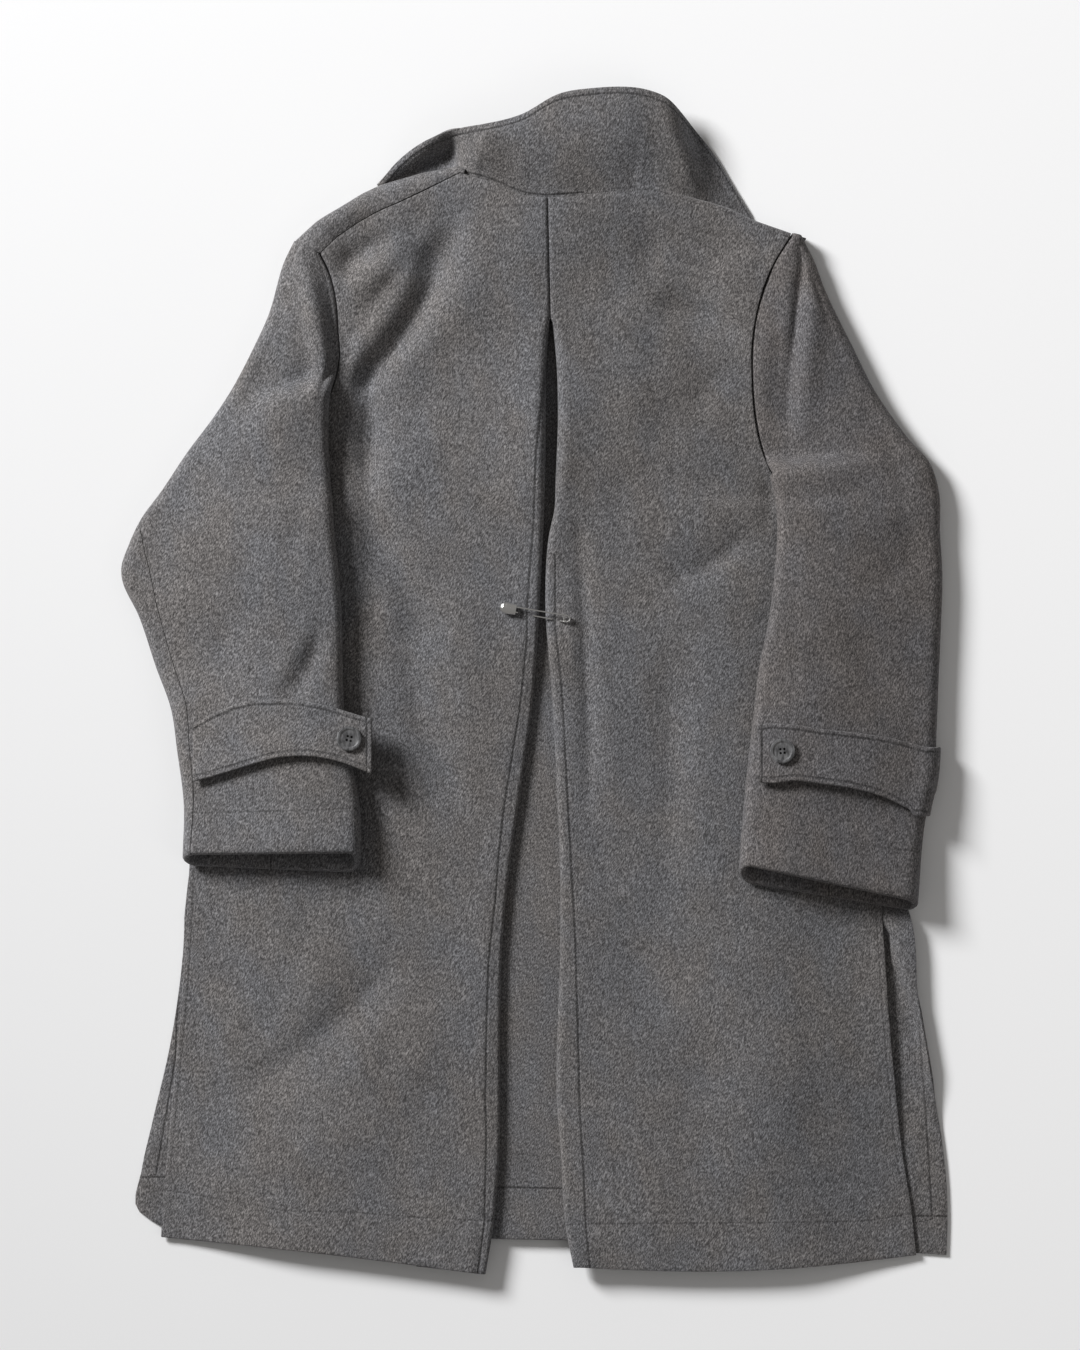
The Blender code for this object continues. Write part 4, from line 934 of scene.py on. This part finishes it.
# %% The two front panels
VENT_LIFT = 9
VENT_EDGE = 3
VENT_LOW = -400
VENT_LOW_RUN = 70
VENT_TOP = -200
VENT_TOP_RUN = 14
SIDE_SHARE = 0.2
OVERLAP_FROM = 150
OVERLAP_RUN = 60
VentFold = namedtuple("VentFold", "y out")
VENT_FOLD = [
    VentFold(-400, 352), VentFold(-330, 348), VentFold(-297, 341),
    VentFold(-257, 325), VentFold(-222, 317), VentFold(-203, 309),
]
Turned = namedtuple("Turned", "out height")
SHOULDER_TURN = [
    Turned(-0.45, 0), Turned(0.1, 0), Turned(0.35, 0), Turned(0.6, 0.01), Turned(0.75, 0.06),
    Turned(0.87, 0.16), Turned(0.95, 0.3), Turned(1, 0.48), Turned(0.98, 0.66), Turned(0.9, 0.83),
    Turned(0.74, 0.95), Turned(0.5, 1.01), Turned(0.25, 1.01), Turned(0, 1),
]
FRONT_STITCH = {
    "left": (beside([-335, -318, -312], [-438, -336, -200]), no_line, above([-360, -300], [-440, -441])),
    "right": (beside([354, 349, 341], [-476, -394, -297]), no_line, above([330, 380], [-475, -475])),
}


def vent_fold(y):
    """How far out the turned edge of the front's vent lies."""
    return np.interp(y, *zip(*VENT_FOLD))


for half, side, overlap in ((left, "left", 0), (right, "right", 1)):
    near_side = np.linspace(0, SIDE_SHARE, FRONT_SIDE_COLUMNS)[:-1]
    share = np.concatenate([near_side, np.linspace(SIDE_SHARE, 1, FRONT_INNER_COLUMNS)])
    rows = []
    for side_x, side_y, centre_x, centre_y in through(half.fronts, FRONT_ROWS):
        x = side_x + (centre_x - side_x) * share
        y = side_y + (centre_y - side_y) * share
        raised = smooth((x * -half.turned - vent_fold(side_y) + VENT_EDGE) / VENT_EDGE)
        raised = raised * smooth((side_y - VENT_LOW) / VENT_LOW_RUN)
        raised = raised * smooth((VENT_TOP - side_y) / VENT_TOP_RUN)
        lapped = overlap * SEAT * smooth((OVERLAP_FROM - x) / OVERLAP_RUN)
        rows.append(np.column_stack([x, y, CLOTH + lapped + VENT_LIFT * raised]))
    rows += [half.wrap_row(out, height, len(share)) for out, height in SHOULDER_TURN]
    piece = cloth(f"wool_front_{side}", rows, wool, flip=half.turned > 0, lines=FRONT_STITCH[side])
    hand_in(piece, f"front_{side}")
    lay(piece, rows)

# %% [markdown]
# ## The strip behind the pleat
#
# An inverted pleat has a third layer behind its two folded edges. It shows below the pin, between the
# edges, as a narrow dark strip with its own hem.

# %% The pleat's underlay
UNDERLAY_LOW = -493
UNDERLAY_HIGH = 374
UNDERLAY_PAST = 14
UNDERLAY_SLANT = 4
UNDERLAY_SLANT_RUN = 480
UNDERLAY_STITCH = (no_line, above([-20, 2], [-419, -421]), above([-60, 60], [-448, -451]))

rows = []
for y in np.linspace(UNDERLAY_LOW, UNDERLAY_HIGH, UNDERLAY_ROWS):
    low_x = float(left.edge(y, "fold_x")) - RETURN_DEPTH - UNDERLAY_PAST
    high_x = float(right.edge(y, "fold_x")) + RETURN_DEPTH + UNDERLAY_PAST
    share = np.linspace(0, 1, UNDERLAY_COLUMNS)
    x = low_x + (high_x - low_x) * share
    slant = UNDERLAY_SLANT * share * smooth(-y / UNDERLAY_SLANT_RUN)
    rows.append(np.column_stack([x, y - slant, np.full(UNDERLAY_COLUMNS, UNDERLAY_SEAT)]))
underlay = cloth("wool_pleat_underlay", rows, wool, lines=UNDERLAY_STITCH)
hand_in(underlay, "pleat_underlay")
lay(underlay, rows)


# %% [markdown]
# ## The sleeves
#
# Each section of a sleeve is drawn in its own plane: flat on the floor, a rolled outer edge, a crowned
# top, a rolled inner edge, and back under itself where the sleeve has closed to a tube. The hind seam
# splits it into a front and a back piece.

# %% A sleeve
HOLE_STEPS = 120
FLAT_STEPS = 25
OVER_STEPS = 60
QUARTER = np.radians(np.arange(-84, 91, 6))
UNDERARM_EASE = 250
TURN_CLEAR = 9
CREASE_CLEAR = 9
LIP_OUTER = 0.55
LIP_PART = 5
LIP_RUN = 6.7
HEAD_TUCK = (3.2, 3.2, 0)
HEAD_DROP = (0, 0, 1.6)


class Sleeve:
    def __init__(self, half, arms, underarm, lip):
        self.half = half
        self.arms = arms
        self.underarm = underarm
        self.lip = lip
        self.fine = through(arms, 200)

    def rest(self, x, y):
        half = self.half
        side = half.edge(y, "side_x")
        inward = (x - side) * half.turned
        body = half.lie(np.where(inward > 0, x, side), y) + CLOTH + SLEEVE_CLEARANCE
        return body * smooth((RAMP_END + inward) / (RAMP_END - RAMP_START))

    def hole(self, arm, width):
        """How far along a section, from its outer edge, the body's side lies."""
        out_x, out_y, in_x, in_y = arm[:4]
        half = self.half
        if (out_y + in_y) / 2 > self.underarm:
            reach = np.linspace(0, width, HOLE_STEPS)
            x = out_x + (in_x - out_x) * reach / width
            y = out_y + (in_y - out_y) * reach / width
            inside = (x - half.edge(y, "side_x")) * half.turned > 0
            return float(reach[np.argmax(inside)]) if inside.any() else width
        below = (self.underarm - (out_y + in_y) / 2) / UNDERARM_EASE
        side = float(half.edge(self.underarm, "side_x")) - UNDERARM_SHIFT * half.turned
        start = (side - out_x) / (in_x - out_x)
        return width * (start + (0.5 - start) * float(smooth(below)))

    def section(self, arm):
        """Points round one section, how far along it each lies, and where its stretches end."""
        out_x, out_y, in_x, in_y, roll, crown, seam, closed = arm
        half = self.half
        if closed < 1:
            edge = float(half.edge(in_y, "side_x")) * half.turned - ARMHOLE_GAP
            in_x = min(in_x * half.turned, edge) * half.turned
        width = math.hypot(in_x - out_x, in_y - out_y)
        run_x, run_y = (in_x - out_x) / width, (in_y - out_y) / width
        hole = self.hole((out_x, out_y, in_x, in_y), width)
        above_arm = (out_y + in_y) / 2 > self.underarm

        def rest_at(reach):
            return self.rest(out_x + run_x * reach, out_y + run_y * reach)

        in_roll = TIGHT_TURN + (roll - TIGHT_TURN) * closed
        outer, inner = roll + CLOTH, width - in_roll - CLOTH
        low = CLOTH if above_arm else float(rest_at(outer)) + CLOTH
        flush = float(half.lie(in_x + 2 * half.turned, in_y))
        lying = float(rest_at(inner)) + CLOTH + 2 * in_roll
        top_in = flush + (lying - flush) * float(smooth(closed))
        steep = float(smooth((HEAD_WIDTH - width) / HEAD_RUN))
        top_out = low + 2 * roll + steep * (top_in - low - 2 * roll)
        middle, high = (top_out + low) / 2, (top_out - low) / 2
        over_arm = (out_y + in_y) / 2 - self.underarm
        retreat = UNDERARM_RETREAT * math.exp(-((over_arm / UNDERARM_REACH) ** 2)) if above_arm else 0
        front_end = hole - ARMHOLE_GAP - retreat if above_arm else hole - UNDER_GAP
        back_end = min(hole, inner - TURN_CLEAR)

        reach = np.linspace(front_end, outer, FLAT_STEPS)
        floor = np.column_stack([reach, np.full(FLAT_STEPS, CLOTH) if above_arm else rest_at(reach) + CLOTH])
        outer_roll = np.column_stack([outer - roll * np.cos(QUARTER), middle + high * np.sin(QUARTER)])
        reach = np.linspace(outer, inner, OVER_STEPS + 1)[1:]
        share = (reach - outer) / (inner - outer)
        crease = relief(SLEEVE_CREASES, out_x + run_x * reach, out_y + run_y * reach)
        crease = crease * smooth(share * CREASE_CLEAR) * smooth((1 - share) * CREASE_CLEAR)
        lying = top_out + (top_in - top_out) * smooth(share) + crown * 4 * share * (1 - share)
        over = np.column_stack([reach, lying + crease])
        back_round = QUARTER[::-1][1:]
        inner_roll = np.column_stack([
            inner + in_roll * np.cos(back_round), top_in - in_roll + in_roll * np.sin(back_round),
        ])
        reach = np.linspace(inner, back_end, FLAT_STEPS)
        fall = (rest_at(reach) + CLOTH - top_in + 2 * in_roll) * float(smooth(closed))
        below = np.column_stack([reach, top_in - 2 * in_roll + fall])
        flat = np.concatenate([floor, outer_roll, over, inner_roll, below])
        under = (1 - np.sin(QUARTER)) / 2
        under = [np.ones(len(floor)), under, np.zeros(len(over)), under[::-1][1:], np.ones(len(below))]
        under = np.concatenate(under) * (LIP_OUTER + (1 - LIP_OUTER) * np.clip(flat[:, 0] / width, 0, 1))
        along = np.concatenate([[0], np.cumsum(np.hypot(*np.diff(flat, axis=0).T))])
        ends = np.cumsum([len(floor), len(outer_roll), len(over), len(inner_roll)]) - 1
        outermost = along[len(floor) + int(np.argmin(np.abs(QUARTER)))]
        seam_at = outermost + (along[ends[1]] - outermost) * min(seam / outer, 1) + max(seam - outer, 0)
        corners = [0, along[ends[0]], outermost, seam_at, *along[ends[1:]], along[-1]]
        points = np.column_stack([out_x + run_x * flat[:, 0], out_y + run_y * flat[:, 0], flat[:, 1]])
        return points, along, corners, (ends[1], ends[2]), under

    def rows(self, count):
        """The grids of the front and the back piece, from the head down to the cuff."""
        fronts, backs = [], []
        for number, arm in enumerate(through(self.arms, count)):
            points, along, corners, _, under = self.section(arm)
            end, floor, outermost, seam, top, inner, turned, last = corners
            low, high = seam - SEAM / 2, seam + SEAM / 2
            front_stops = spread(
                (low, 1), (low - 1, 10), (min(outermost, low - 3), 12), (floor, 16), (end, 1),
            )
            back_stops = spread(
                (high, 1), (high + 1, 3), (max(top, high + 6), 40), (inner, 14), (turned, 12), (last, 1),
            )
            lip = self.lip * float(smooth((number - count + count / LIP_PART) / (count / LIP_RUN)))
            points[:, 1] -= lip * under
            middle = points.mean(axis=0)
            for stops, rows in ((front_stops, fronts), (back_stops, backs)):
                rows.append(np.column_stack([np.interp(stops, along, points[:, k]) for k in range(3)]))
        for rows in (fronts, backs):
            self.tuck_head(rows)
            self.turn_in(rows, middle)
        return fronts, backs

    def tuck_head(self, rows):
        """The seam allowance at the armhole, which lies under the shoulder."""
        away = rows[0] - rows[2]
        away = away / np.linalg.norm(away[:, :2], axis=1)[:, None]
        rows.insert(0, rows[0] + away * HEAD_TUCK - HEAD_DROP)

    def turn_in(self, rows, middle):
        """The cuff's hem: the cloth turns into the sleeve over a tight radius."""
        last = rows[-1]
        run = np.gradient(last[:, [0, 2]], axis=0)
        run = run / np.linalg.norm(run, axis=1)[:, None]
        inward = np.column_stack([-run[:, 1], np.zeros(len(run)), run[:, 0]])
        facing = np.sign((inward * (middle - last)).sum(axis=1))
        for k in range(len(facing)):
            if abs((inward[k] * (middle - last[k])).sum()) < 1:
                facing[k] = facing[k - 1] if k else facing[k + 1]
        inward = inward * facing[:, None]
        for into, down in HEM_TURN:
            rows.append(last + inward * into - np.array([0, down, 0]))

    def top_at(self, x, y):
        """Height of the sleeve's upper face."""
        share = (x - self.fine[:, 0]) / (self.fine[:, 2] - self.fine[:, 0])
        level = self.fine[:, 1] + (self.fine[:, 3] - self.fine[:, 1]) * share
        points, _, _, (start, end), _ = self.section(self.fine[np.argmin(np.abs(level - y))])
        upper = points[start : end + 1]
        order = np.argsort(upper[:, 0])
        return float(np.interp(x, upper[order, 0], upper[order, 2])) + CLOTH

    def strap_point(self, x, y, share):
        return x, y, self.top_at(x, y) + STRAP_SEAT + STRAP_RISE * share**2


def spread(*stops):
    """Places along a line: each stop says where a stretch starts and how many steps it has."""
    found = []
    for (start, steps), (stop, _) in zip(stops, stops[1:]):
        found += list(np.linspace(start, stop, steps, endpoint=False))
    return np.array(found + [stops[-1][0]])


# The right sleeve and its strap get a darker, browner copy of the wool: painted shade where the light falls
# off to the right. Its nap is also turned a little.
RIGHT_SLEEVE_SHADE = (0.89, 0.865, 0.855)
RIGHT_SLEEVE_NAP = 14
wool_shaded_right_sleeve = wool_material("wool_shaded_right_sleeve", RIGHT_SLEEVE_SHADE, RIGHT_SLEEVE_NAP)
arm_left = Sleeve(left, ARM_LEFT, UNDERARM_LEFT, LIP_LEFT)
arm_right = Sleeve(right, ARM_RIGHT, UNDERARM_RIGHT, LIP_RIGHT)
CUFF_STITCH = {
    "left": above([-320, -265, -202, -150], [-117, -116, -114, -112]),
    "right": above([185, 248, 306, 338], [-128, -137, -147, -151]),
}
for tube, side, sleeve_wool in ((arm_left, "left", wool), (arm_right, "right", wool_shaded_right_sleeve)):
    fronts, backs = tube.rows(SLEEVE_ROWS)
    turned = tube.half.turned
    front_piece = cloth(f"wool_sleeve_{side}_front", fronts, sleeve_wool, flip=turned < 0)
    hand_in(front_piece, f"sleeve_{side}_front")
    lay(front_piece, fronts)
    stitched = (no_line, CUFF_STITCH[side])
    back_piece = cloth(f"wool_sleeve_{side}_back", backs, sleeve_wool, flip=turned > 0, lines=stitched)
    hand_in(back_piece, f"sleeve_{side}_back")
    lay(back_piece, backs)

# %% [markdown]
# ## The collar
#
# One band that stands up round the neck and falls to the floor at both tips.

# %% The collar
COLLAR_INSET = 6
COLLAR_TUCK = 0.22
COLLAR_CALM = 4
COLLAR_EDGE = 1.06
COLLAR_EDGE_CALM = 6
NECK_SPAN = (-50, 92)
NECK_GRIP = (-60, 100)
NECK_GRIP_RUN = (16, 12)
NECK_SEAM = above([-62, -47, -32, -19, -6, 12, 42], [451, 447, 442, 436, 431.5, 429.5, 432])


def inside_last(inset):
    """Distance from a line that keeps one distance inside the last column of a grid."""
    return lambda x, y: np.hypot(x - x[:, -1:], y - y[:, -1:]) - inset


collar_rows = []
for edge_x, edge_y, edge_z, seam_x, seam_y, seam_z, puff in through(COLLAR, COLLAR_ROWS):
    if NECK_SPAN[0] < seam_x < NECK_SPAN[1]:
        half = left if seam_x < NECK_MIDDLE - 2 else right
        held = smooth((seam_x - NECK_GRIP[0]) / NECK_GRIP_RUN[0])
        held = held * smooth((NECK_GRIP[1] - seam_x) / NECK_GRIP_RUN[1])
        seam_z = seam_z + (float(half.lie(seam_x, seam_y)) - seam_z) * float(held)
    share = np.linspace(-COLLAR_TUCK, 1, COLLAR_COLUMNS)
    x = seam_x + (edge_x - seam_x) * share
    y = seam_y + (edge_y - seam_y) * share
    z = seam_z + (edge_z - seam_z) * smooth(share) + puff * np.sin(math.pi * share)
    calm = smooth(share * COLLAR_CALM) * smooth((COLLAR_EDGE - share) * COLLAR_EDGE_CALM)
    z = z + relief(COLLAR_CREASES, x, y) * calm
    collar_rows.append(np.column_stack([x, y, np.maximum(z, CLOTH)]))
collar = cloth("wool_collar", collar_rows, wool, lines=(inside_last(COLLAR_INSET), no_line, NECK_SEAM))
hand_in(collar, "collar")
lay(collar, collar_rows)

# %% [markdown]
# ## The straps across the cuffs
#
# Each strap is a stiff double layer that lies on the sleeve and stands up a little at its lower edge.

# %% The cuff straps
STRAP_INSET = 4.5
STRAP_EDGE = 1.2


def inside_sides(x, y):
    """Distance from the strap's two long rows of stitches."""
    upper = np.hypot(x - x[:, :1], y - y[:, :1])
    lower = np.hypot(x - x[:, -1:], y - y[:, -1:])
    return np.minimum(upper, lower) - STRAP_INSET


def inside_end(row):
    """Distance from the row of stitches along the strap's free end."""
    return lambda x, y: np.hypot(x - x[row][None], y - y[row][None]) - STRAP_INSET


def round_the_edge(tube, angle, share):
    """A point of the strap where it turns down over the sleeve's outer edge."""
    y = -STRAP_WRAP[0] - (STRAP_WRAP[1] - STRAP_WRAP[0]) * share
    arm = Arm(*tube.fine[np.argmin(np.abs(tube.fine[:, 1] - y))])
    radius = arm.roll + CLOTH + 2 * STRAP_SEAT
    x = arm.out_x - arm.roll - CLOTH + radius * math.cos(angle)
    lift = STRAP_RISE * share**2 * math.sin(angle)
    return x, y, CLOTH + arm.roll + radius * math.sin(angle) + lift


strap_rows = {}
shares = np.linspace(0, 1, STRAP_COLUMNS)
for tube, table, side, wrapped in (
    (arm_left, STRAP_LEFT, "left", False),
    (arm_right, STRAP_RIGHT, "right", True),
):
    rows = []
    for x, top_y, bottom_y in through(table, STRAP_ROWS):
        rows.append([tube.strap_point(x, top_y + (bottom_y - top_y) * share, share) for share in shares])
    if wrapped:
        for angle in np.radians(np.linspace(90, 0, STRAP_TURN_ROWS)):
            rows.append([round_the_edge(tube, angle, share) for share in shares])
    strap_rows[side] = rows
    stitched = (inside_sides, no_line, inside_end(0 if wrapped else -1))
    # The right strap takes the right sleeve's copy of the wool, with the same painted shade.
    strap_wool = wool_shaded_right_sleeve if wrapped else wool
    strap = cloth(
        f"wool_cuff_tab_{side}", rows, strap_wool, thick=STRAP_THICK, edge=STRAP_EDGE, lines=stitched,
    )
    hand_in(strap, f"cuff_tab_{side}")
    lay(strap, rows)

# %% [markdown]
# ## Stitches
#
# Topstitching holds the pleat, the collar's edge and the straps. A thread that dips in and out of the
# cloth shows as a row of short beads at an even pitch, sunk in the groove that it pulls. Each row is a
# line on the cloth's face; Geometry Nodes walk along it, set a bead at each step, turn it along the line
# and vary its length a little. The beads are then one plain mesh a piece.

# %% A thread and its stitches
THREAD_DARK = (0.022, 0.021, 0.022)
THREAD_PALE = (0.085, 0.081, 0.082)
SHORTEST = 0.85
LONGEST = 1.1


def thread_material():
    made, add, place = new_material("thread_grey")
    twist = add("ShaderNodeTexNoise", [(place, "Vector")], Scale=2600.0, Detail=2.0).outputs["Fac"]
    strands = tone_ramp(add, twist, (0, THREAD_DARK), (1, THREAD_PALE))
    bump = add("ShaderNodeBump", [(twist, "Height")], Strength=0.4, Distance=0.0001)
    finish(add, [(strands, "Base Color"), (bump.outputs[0], "Normal")], Roughness=0.6)
    return made


def stitch_group(thread):
    """Nodes that set one bead of thread at every step along the edges of a mesh."""
    group = bpy.data.node_groups.new("stitches", "GeometryNodeTree")
    group.interface.new_socket("Geometry", in_out="INPUT", socket_type="NodeSocketGeometry")
    for name, value in (("Pitch", 0.0032), ("Length", 0.0024), ("Width", 0.0005)):
        socket = group.interface.new_socket(name, in_out="INPUT", socket_type="NodeSocketFloat")
        socket.default_value = value
    group.interface.new_socket("Seed", in_out="INPUT", socket_type="NodeSocketInt").default_value = 7
    group.interface.new_socket("Geometry", in_out="OUTPUT", socket_type="NodeSocketGeometry")
    add = node_maker(group)
    given = add("NodeGroupInput").outputs
    curve = add("GeometryNodeMeshToCurve", [(given["Geometry"], "Mesh")])
    walk = [(curve.outputs[0], "Curve"), (given["Pitch"], "Length")]
    even = add("GeometryNodeResampleCurve", walk, mode="LENGTH")
    tangent = add("GeometryNodeInputTangent")
    turned = add("FunctionNodeAlignRotationToVector", [(tangent.outputs[0], "Vector")], axis="Z")
    bead = add("GeometryNodeMeshUVSphere", Segments=6, Rings=4, Radius=0.5)
    varied = add("FunctionNodeRandomValue", [(given["Seed"], "Seed")], data_type="FLOAT")
    varied.inputs[2].default_value = SHORTEST
    varied.inputs[3].default_value = LONGEST
    long = add("ShaderNodeMath", [(given["Length"], 0), (varied.outputs[1], 1)], operation="MULTIPLY")
    size = add("ShaderNodeCombineXYZ", [(given["Width"], 0), (given["Width"], 1), (long.outputs[0], 2)])
    beads = add("GeometryNodeInstanceOnPoints", [
        (even.outputs[0], "Points"), (bead.outputs["Mesh"], "Instance"),
        (turned.outputs[0], "Rotation"), (size.outputs[0], "Scale"),
    ])
    real = add("GeometryNodeRealizeInstances", [(beads.outputs[0], "Geometry")])
    soft = add("GeometryNodeSetShadeSmooth", [(real.outputs[0], "Geometry")])
    finished = add("GeometryNodeSetMaterial", [(soft.outputs[0], "Geometry")], Material=thread)
    add("NodeGroupOutput", [(finished.outputs[0], "Geometry")])
    return group


def stitches(name, paths, group, **sizes):
    """The stitches along one or more lines of points in mm, as one plain mesh."""
    points, edges = [], []
    for path in paths:
        start = len(points)
        points += [tuple(np.array(p, float) * MM) for p in path]
        edges += [(start + k, start + k + 1) for k in range(len(path) - 1)]
    data = bpy.data.meshes.new(name)
    data.from_pydata(points, edges, [])
    piece = bpy.data.objects.new(name, data)
    bpy.context.scene.collection.objects.link(piece)
    sewing = piece.modifiers.new("stitches", "NODES")
    sewing.node_group = group
    for item in group.interface.items_tree:
        if item.in_out == "INPUT" and item.name in sizes:
            sewing[item.identifier] = sizes[item.name]
    settled(piece)
    if not piece.data.materials:
        piece.data.materials.append(thread)
    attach(piece, "root")
    print(f"{name}: {len(piece.data.polygons)} faces")
    return piece


thread = thread_material()
sewing_group = stitch_group(thread)

# %% Rows of stitches
STITCH_SEAT = 0.1
PLEAT_SKIP = 6
PLEAT_STEP = 4.0
TIP_ROWS = 6
TURNED_ROWS = 10


def down_the_pleat(half, table):
    """Points on the back's face along a line that is given as x at heights y."""
    heights = np.arange(table[1][0] + PLEAT_SKIP, table[1][-1], PLEAT_STEP)
    across = np.interp(heights, table[1], table[0])
    return np.column_stack([across, heights, half.face(across, heights) + STITCH_SEAT])


def along_rows(rows, inset, lift, from_end=True):
    """Points that keep one distance inside the last or first column of a grid."""
    path = []
    for row in rows:
        row = np.array(row)[::-1] if from_end else np.array(row)
        gone = np.concatenate([[0], np.cumsum(np.linalg.norm(np.diff(row, axis=0), axis=1))])
        path.append([np.interp(inset, gone, row[:, k]) for k in range(3)])
    path = np.array(path)
    path[:, 2] += lift
    return path


def across_end(rows, inset, lift, last=True):
    """Points that keep one distance inside the last or first row of a grid."""
    columns = np.array(rows).transpose(1, 0, 2)
    path = along_rows(columns, inset, lift, last)
    gone = np.concatenate([[0], np.cumsum(np.linalg.norm(np.diff(path, axis=0), axis=1))])
    return path[(gone > inset) & (gone < gone[-1] - inset)]


for half, side, table in ((left, "left", PLEAT_TABLE_LEFT), (right, "right", PLEAT_TABLE_RIGHT)):
    path = down_the_pleat(half, table)
    stitches(f"stitches_pleat_{side}", [path], sewing_group, Pitch=0.0034, Length=0.0025)
inside_collar = along_rows(collar_rows[TIP_ROWS:-TIP_ROWS], COLLAR_INSET, STITCH_SEAT)
stitches("stitches_collar", [inside_collar], sewing_group)
for side, wrapped in (("left", False), ("right", True)):
    rows, lift = strap_rows[side], STRAP_THICK + STITCH_SEAT
    flat_rows = rows[:-TURNED_ROWS] if wrapped else rows
    paths = [
        along_rows(flat_rows, STRAP_INSET, lift),
        along_rows(flat_rows, STRAP_INSET, lift, from_end=False),
        across_end(flat_rows, STRAP_INSET, lift, last=not wrapped),
    ]
    stitches(f"stitches_strap_{side}", paths, sewing_group, Pitch=0.003, Length=0.0022)

# %% [markdown]
# ## Horn and steel
#
# The buttons and the pin keep their solids. Dark horn has faint cloudy streaks under a soft polish, and
# the steel of the pin is bright with a fine wear.

# %% Finishes of the buttons and the pin
HORN_DARK = (0.07, 0.07, 0.073)
HORN_PALE = (0.3, 0.3, 0.305)
STEEL = (0.86, 0.85, 0.83)


def horn_material():
    made, add, place = new_material("horn_dark")
    drawn = add("ShaderNodeMapping", [(place, "Vector")], Scale=(420, 140, 300)).outputs[0]
    cloud = add("ShaderNodeTexNoise", [(drawn, "Vector")], Scale=1.0, Detail=3.0).outputs["Fac"]
    streaks = tone_ramp(add, cloud, (0.35, HORN_DARK), (0.75, HORN_PALE))
    bump = add("ShaderNodeBump", [(cloud, "Height")], Strength=0.08, Distance=0.0003)
    finish(
        add, [(streaks, "Base Color"), (bump.outputs[0], "Normal")], Roughness=0.24, Metallic=0.5,
        Specular_IOR_Level=0.8, Coat_Weight=1.0, Coat_Roughness=0.08,
    )
    return made


def steel_material():
    made, add, place = new_material("pin_steel")
    worn = add("ShaderNodeTexNoise", [(place, "Vector")], Scale=900.0, Detail=3.0).outputs["Fac"]
    rough = add("ShaderNodeMapRange", [(worn, "Value")], **{"To Min": 0.16, "To Max": 0.32})
    finish(add, [(rough.outputs[0], "Roughness")], Metallic=1.0, Base_Color=(*STEEL, 1))
    return made


horn, steel = horn_material(), steel_material()
POLISHED = {"button_left": horn, "button_right": horn, "safety_pin": steel, "pin_clasp": steel}
for node, polish in POLISHED.items():
    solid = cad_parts[node]
    solid.data.materials.clear()
    solid.data.materials.append(polish)
print("four solids have their own finish")

# %% [markdown]
# ## Floor, light and camera
#
# The coat was photographed from straight above and cut out on white, so the floor is a plain pale sheet.
# The light is one large soft source at the upper left with a weaker one opposite. It falls off to the
# right, and the floor's tone makes up for that. The camera stands far off with a long lens, so that
# upright edges don't lean.

# %% The stage
FLOOR_TONES = (0.78, 0.99)
FLOOR_REACH = 0.5
FLOOR_HALF = 12.0
FLOOR_DROP = 0.0003
Light = namedtuple("Light", "name place size power colour")
LIGHTS = [
    Light("key", (-3.8, 2.95, 2.8), 1.75, 470, (0.985, 0.99, 1.0)),
    Light("fill", (2.6, -1.8, 3.0), 2.4, 8, (1, 1, 1)),
]
SKY = (1, 0.975, 0.95)
SKY_STRENGTH = 0.2


def floor():
    half = FLOOR_HALF
    data = bpy.data.meshes.new("floor")
    corners = [(-half, -half, 0), (half, -half, 0), (half, half, 0), (-half, half, 0)]
    data.from_pydata(corners, [], [(0, 1, 2, 3)])
    made = bpy.data.objects.new("floor", data)
    made.location.z = -FLOOR_DROP
    bpy.context.scene.collection.objects.link(made)
    paint, add, place = new_material("floor_pale")
    across = add("ShaderNodeSeparateXYZ", [(place, "Vector")]).outputs[0]
    tone = add("ShaderNodeMapRange", [(across, "Value")], **{
        "From Min": -FLOOR_REACH, "From Max": FLOOR_REACH, "To Min": FLOOR_TONES[0], "To Max": FLOOR_TONES[1],
    }).outputs[0]
    finish(add, [(tone, "Base Color")], Roughness=0.9, Specular_IOR_Level=0.1)
    data.materials.append(paint)


def area_light(light):
    """A round soft lamp that looks at the coat's middle."""
    lamp = bpy.data.lights.new(light.name, "AREA")
    lamp.shape = "DISK"
    lamp.size = light.size
    lamp.energy = light.power
    lamp.color = light.colour
    made = bpy.data.objects.new(light.name, lamp)
    made.location = light.place
    made.rotation_mode = "QUATERNION"
    made.rotation_quaternion = Vector(light.place).to_track_quat("Z", "Y")
    bpy.context.scene.collection.objects.link(made)


floor()
for light in LIGHTS:
    area_light(light)
world = bpy.data.worlds.new("studio")
bpy.context.scene.world = world
world.use_nodes = True
world.node_tree.nodes["Background"].inputs["Color"].default_value = (*SKY, 1)
world.node_tree.nodes["Background"].inputs["Strength"].default_value = SKY_STRENGTH
bpy.context.scene.view_settings.view_transform = "Standard"

# %% The camera
PIXEL = 0.885
PICTURE_TALL = 1350
PICTURE_CENTRE = (5.3, 5.75)
DISTANCE = 6.0
COAT_TOP = 0.02
SENSOR = 36
FAR_CLIP = 50
lens = bpy.data.cameras.new("camera")
lens.sensor_width = SENSOR
lens.lens = SENSOR * DISTANCE / (PICTURE_TALL * PIXEL * MM)
lens.clip_end = FAR_CLIP
camera = bpy.data.objects.new("camera", lens)
camera.location = (PICTURE_CENTRE[0] * MM, PICTURE_CENTRE[1] * MM, DISTANCE + COAT_TOP)
bpy.context.scene.collection.objects.link(camera)
bpy.context.scene.camera = camera
print("the lens is", round(lens.lens, 1), "mm")
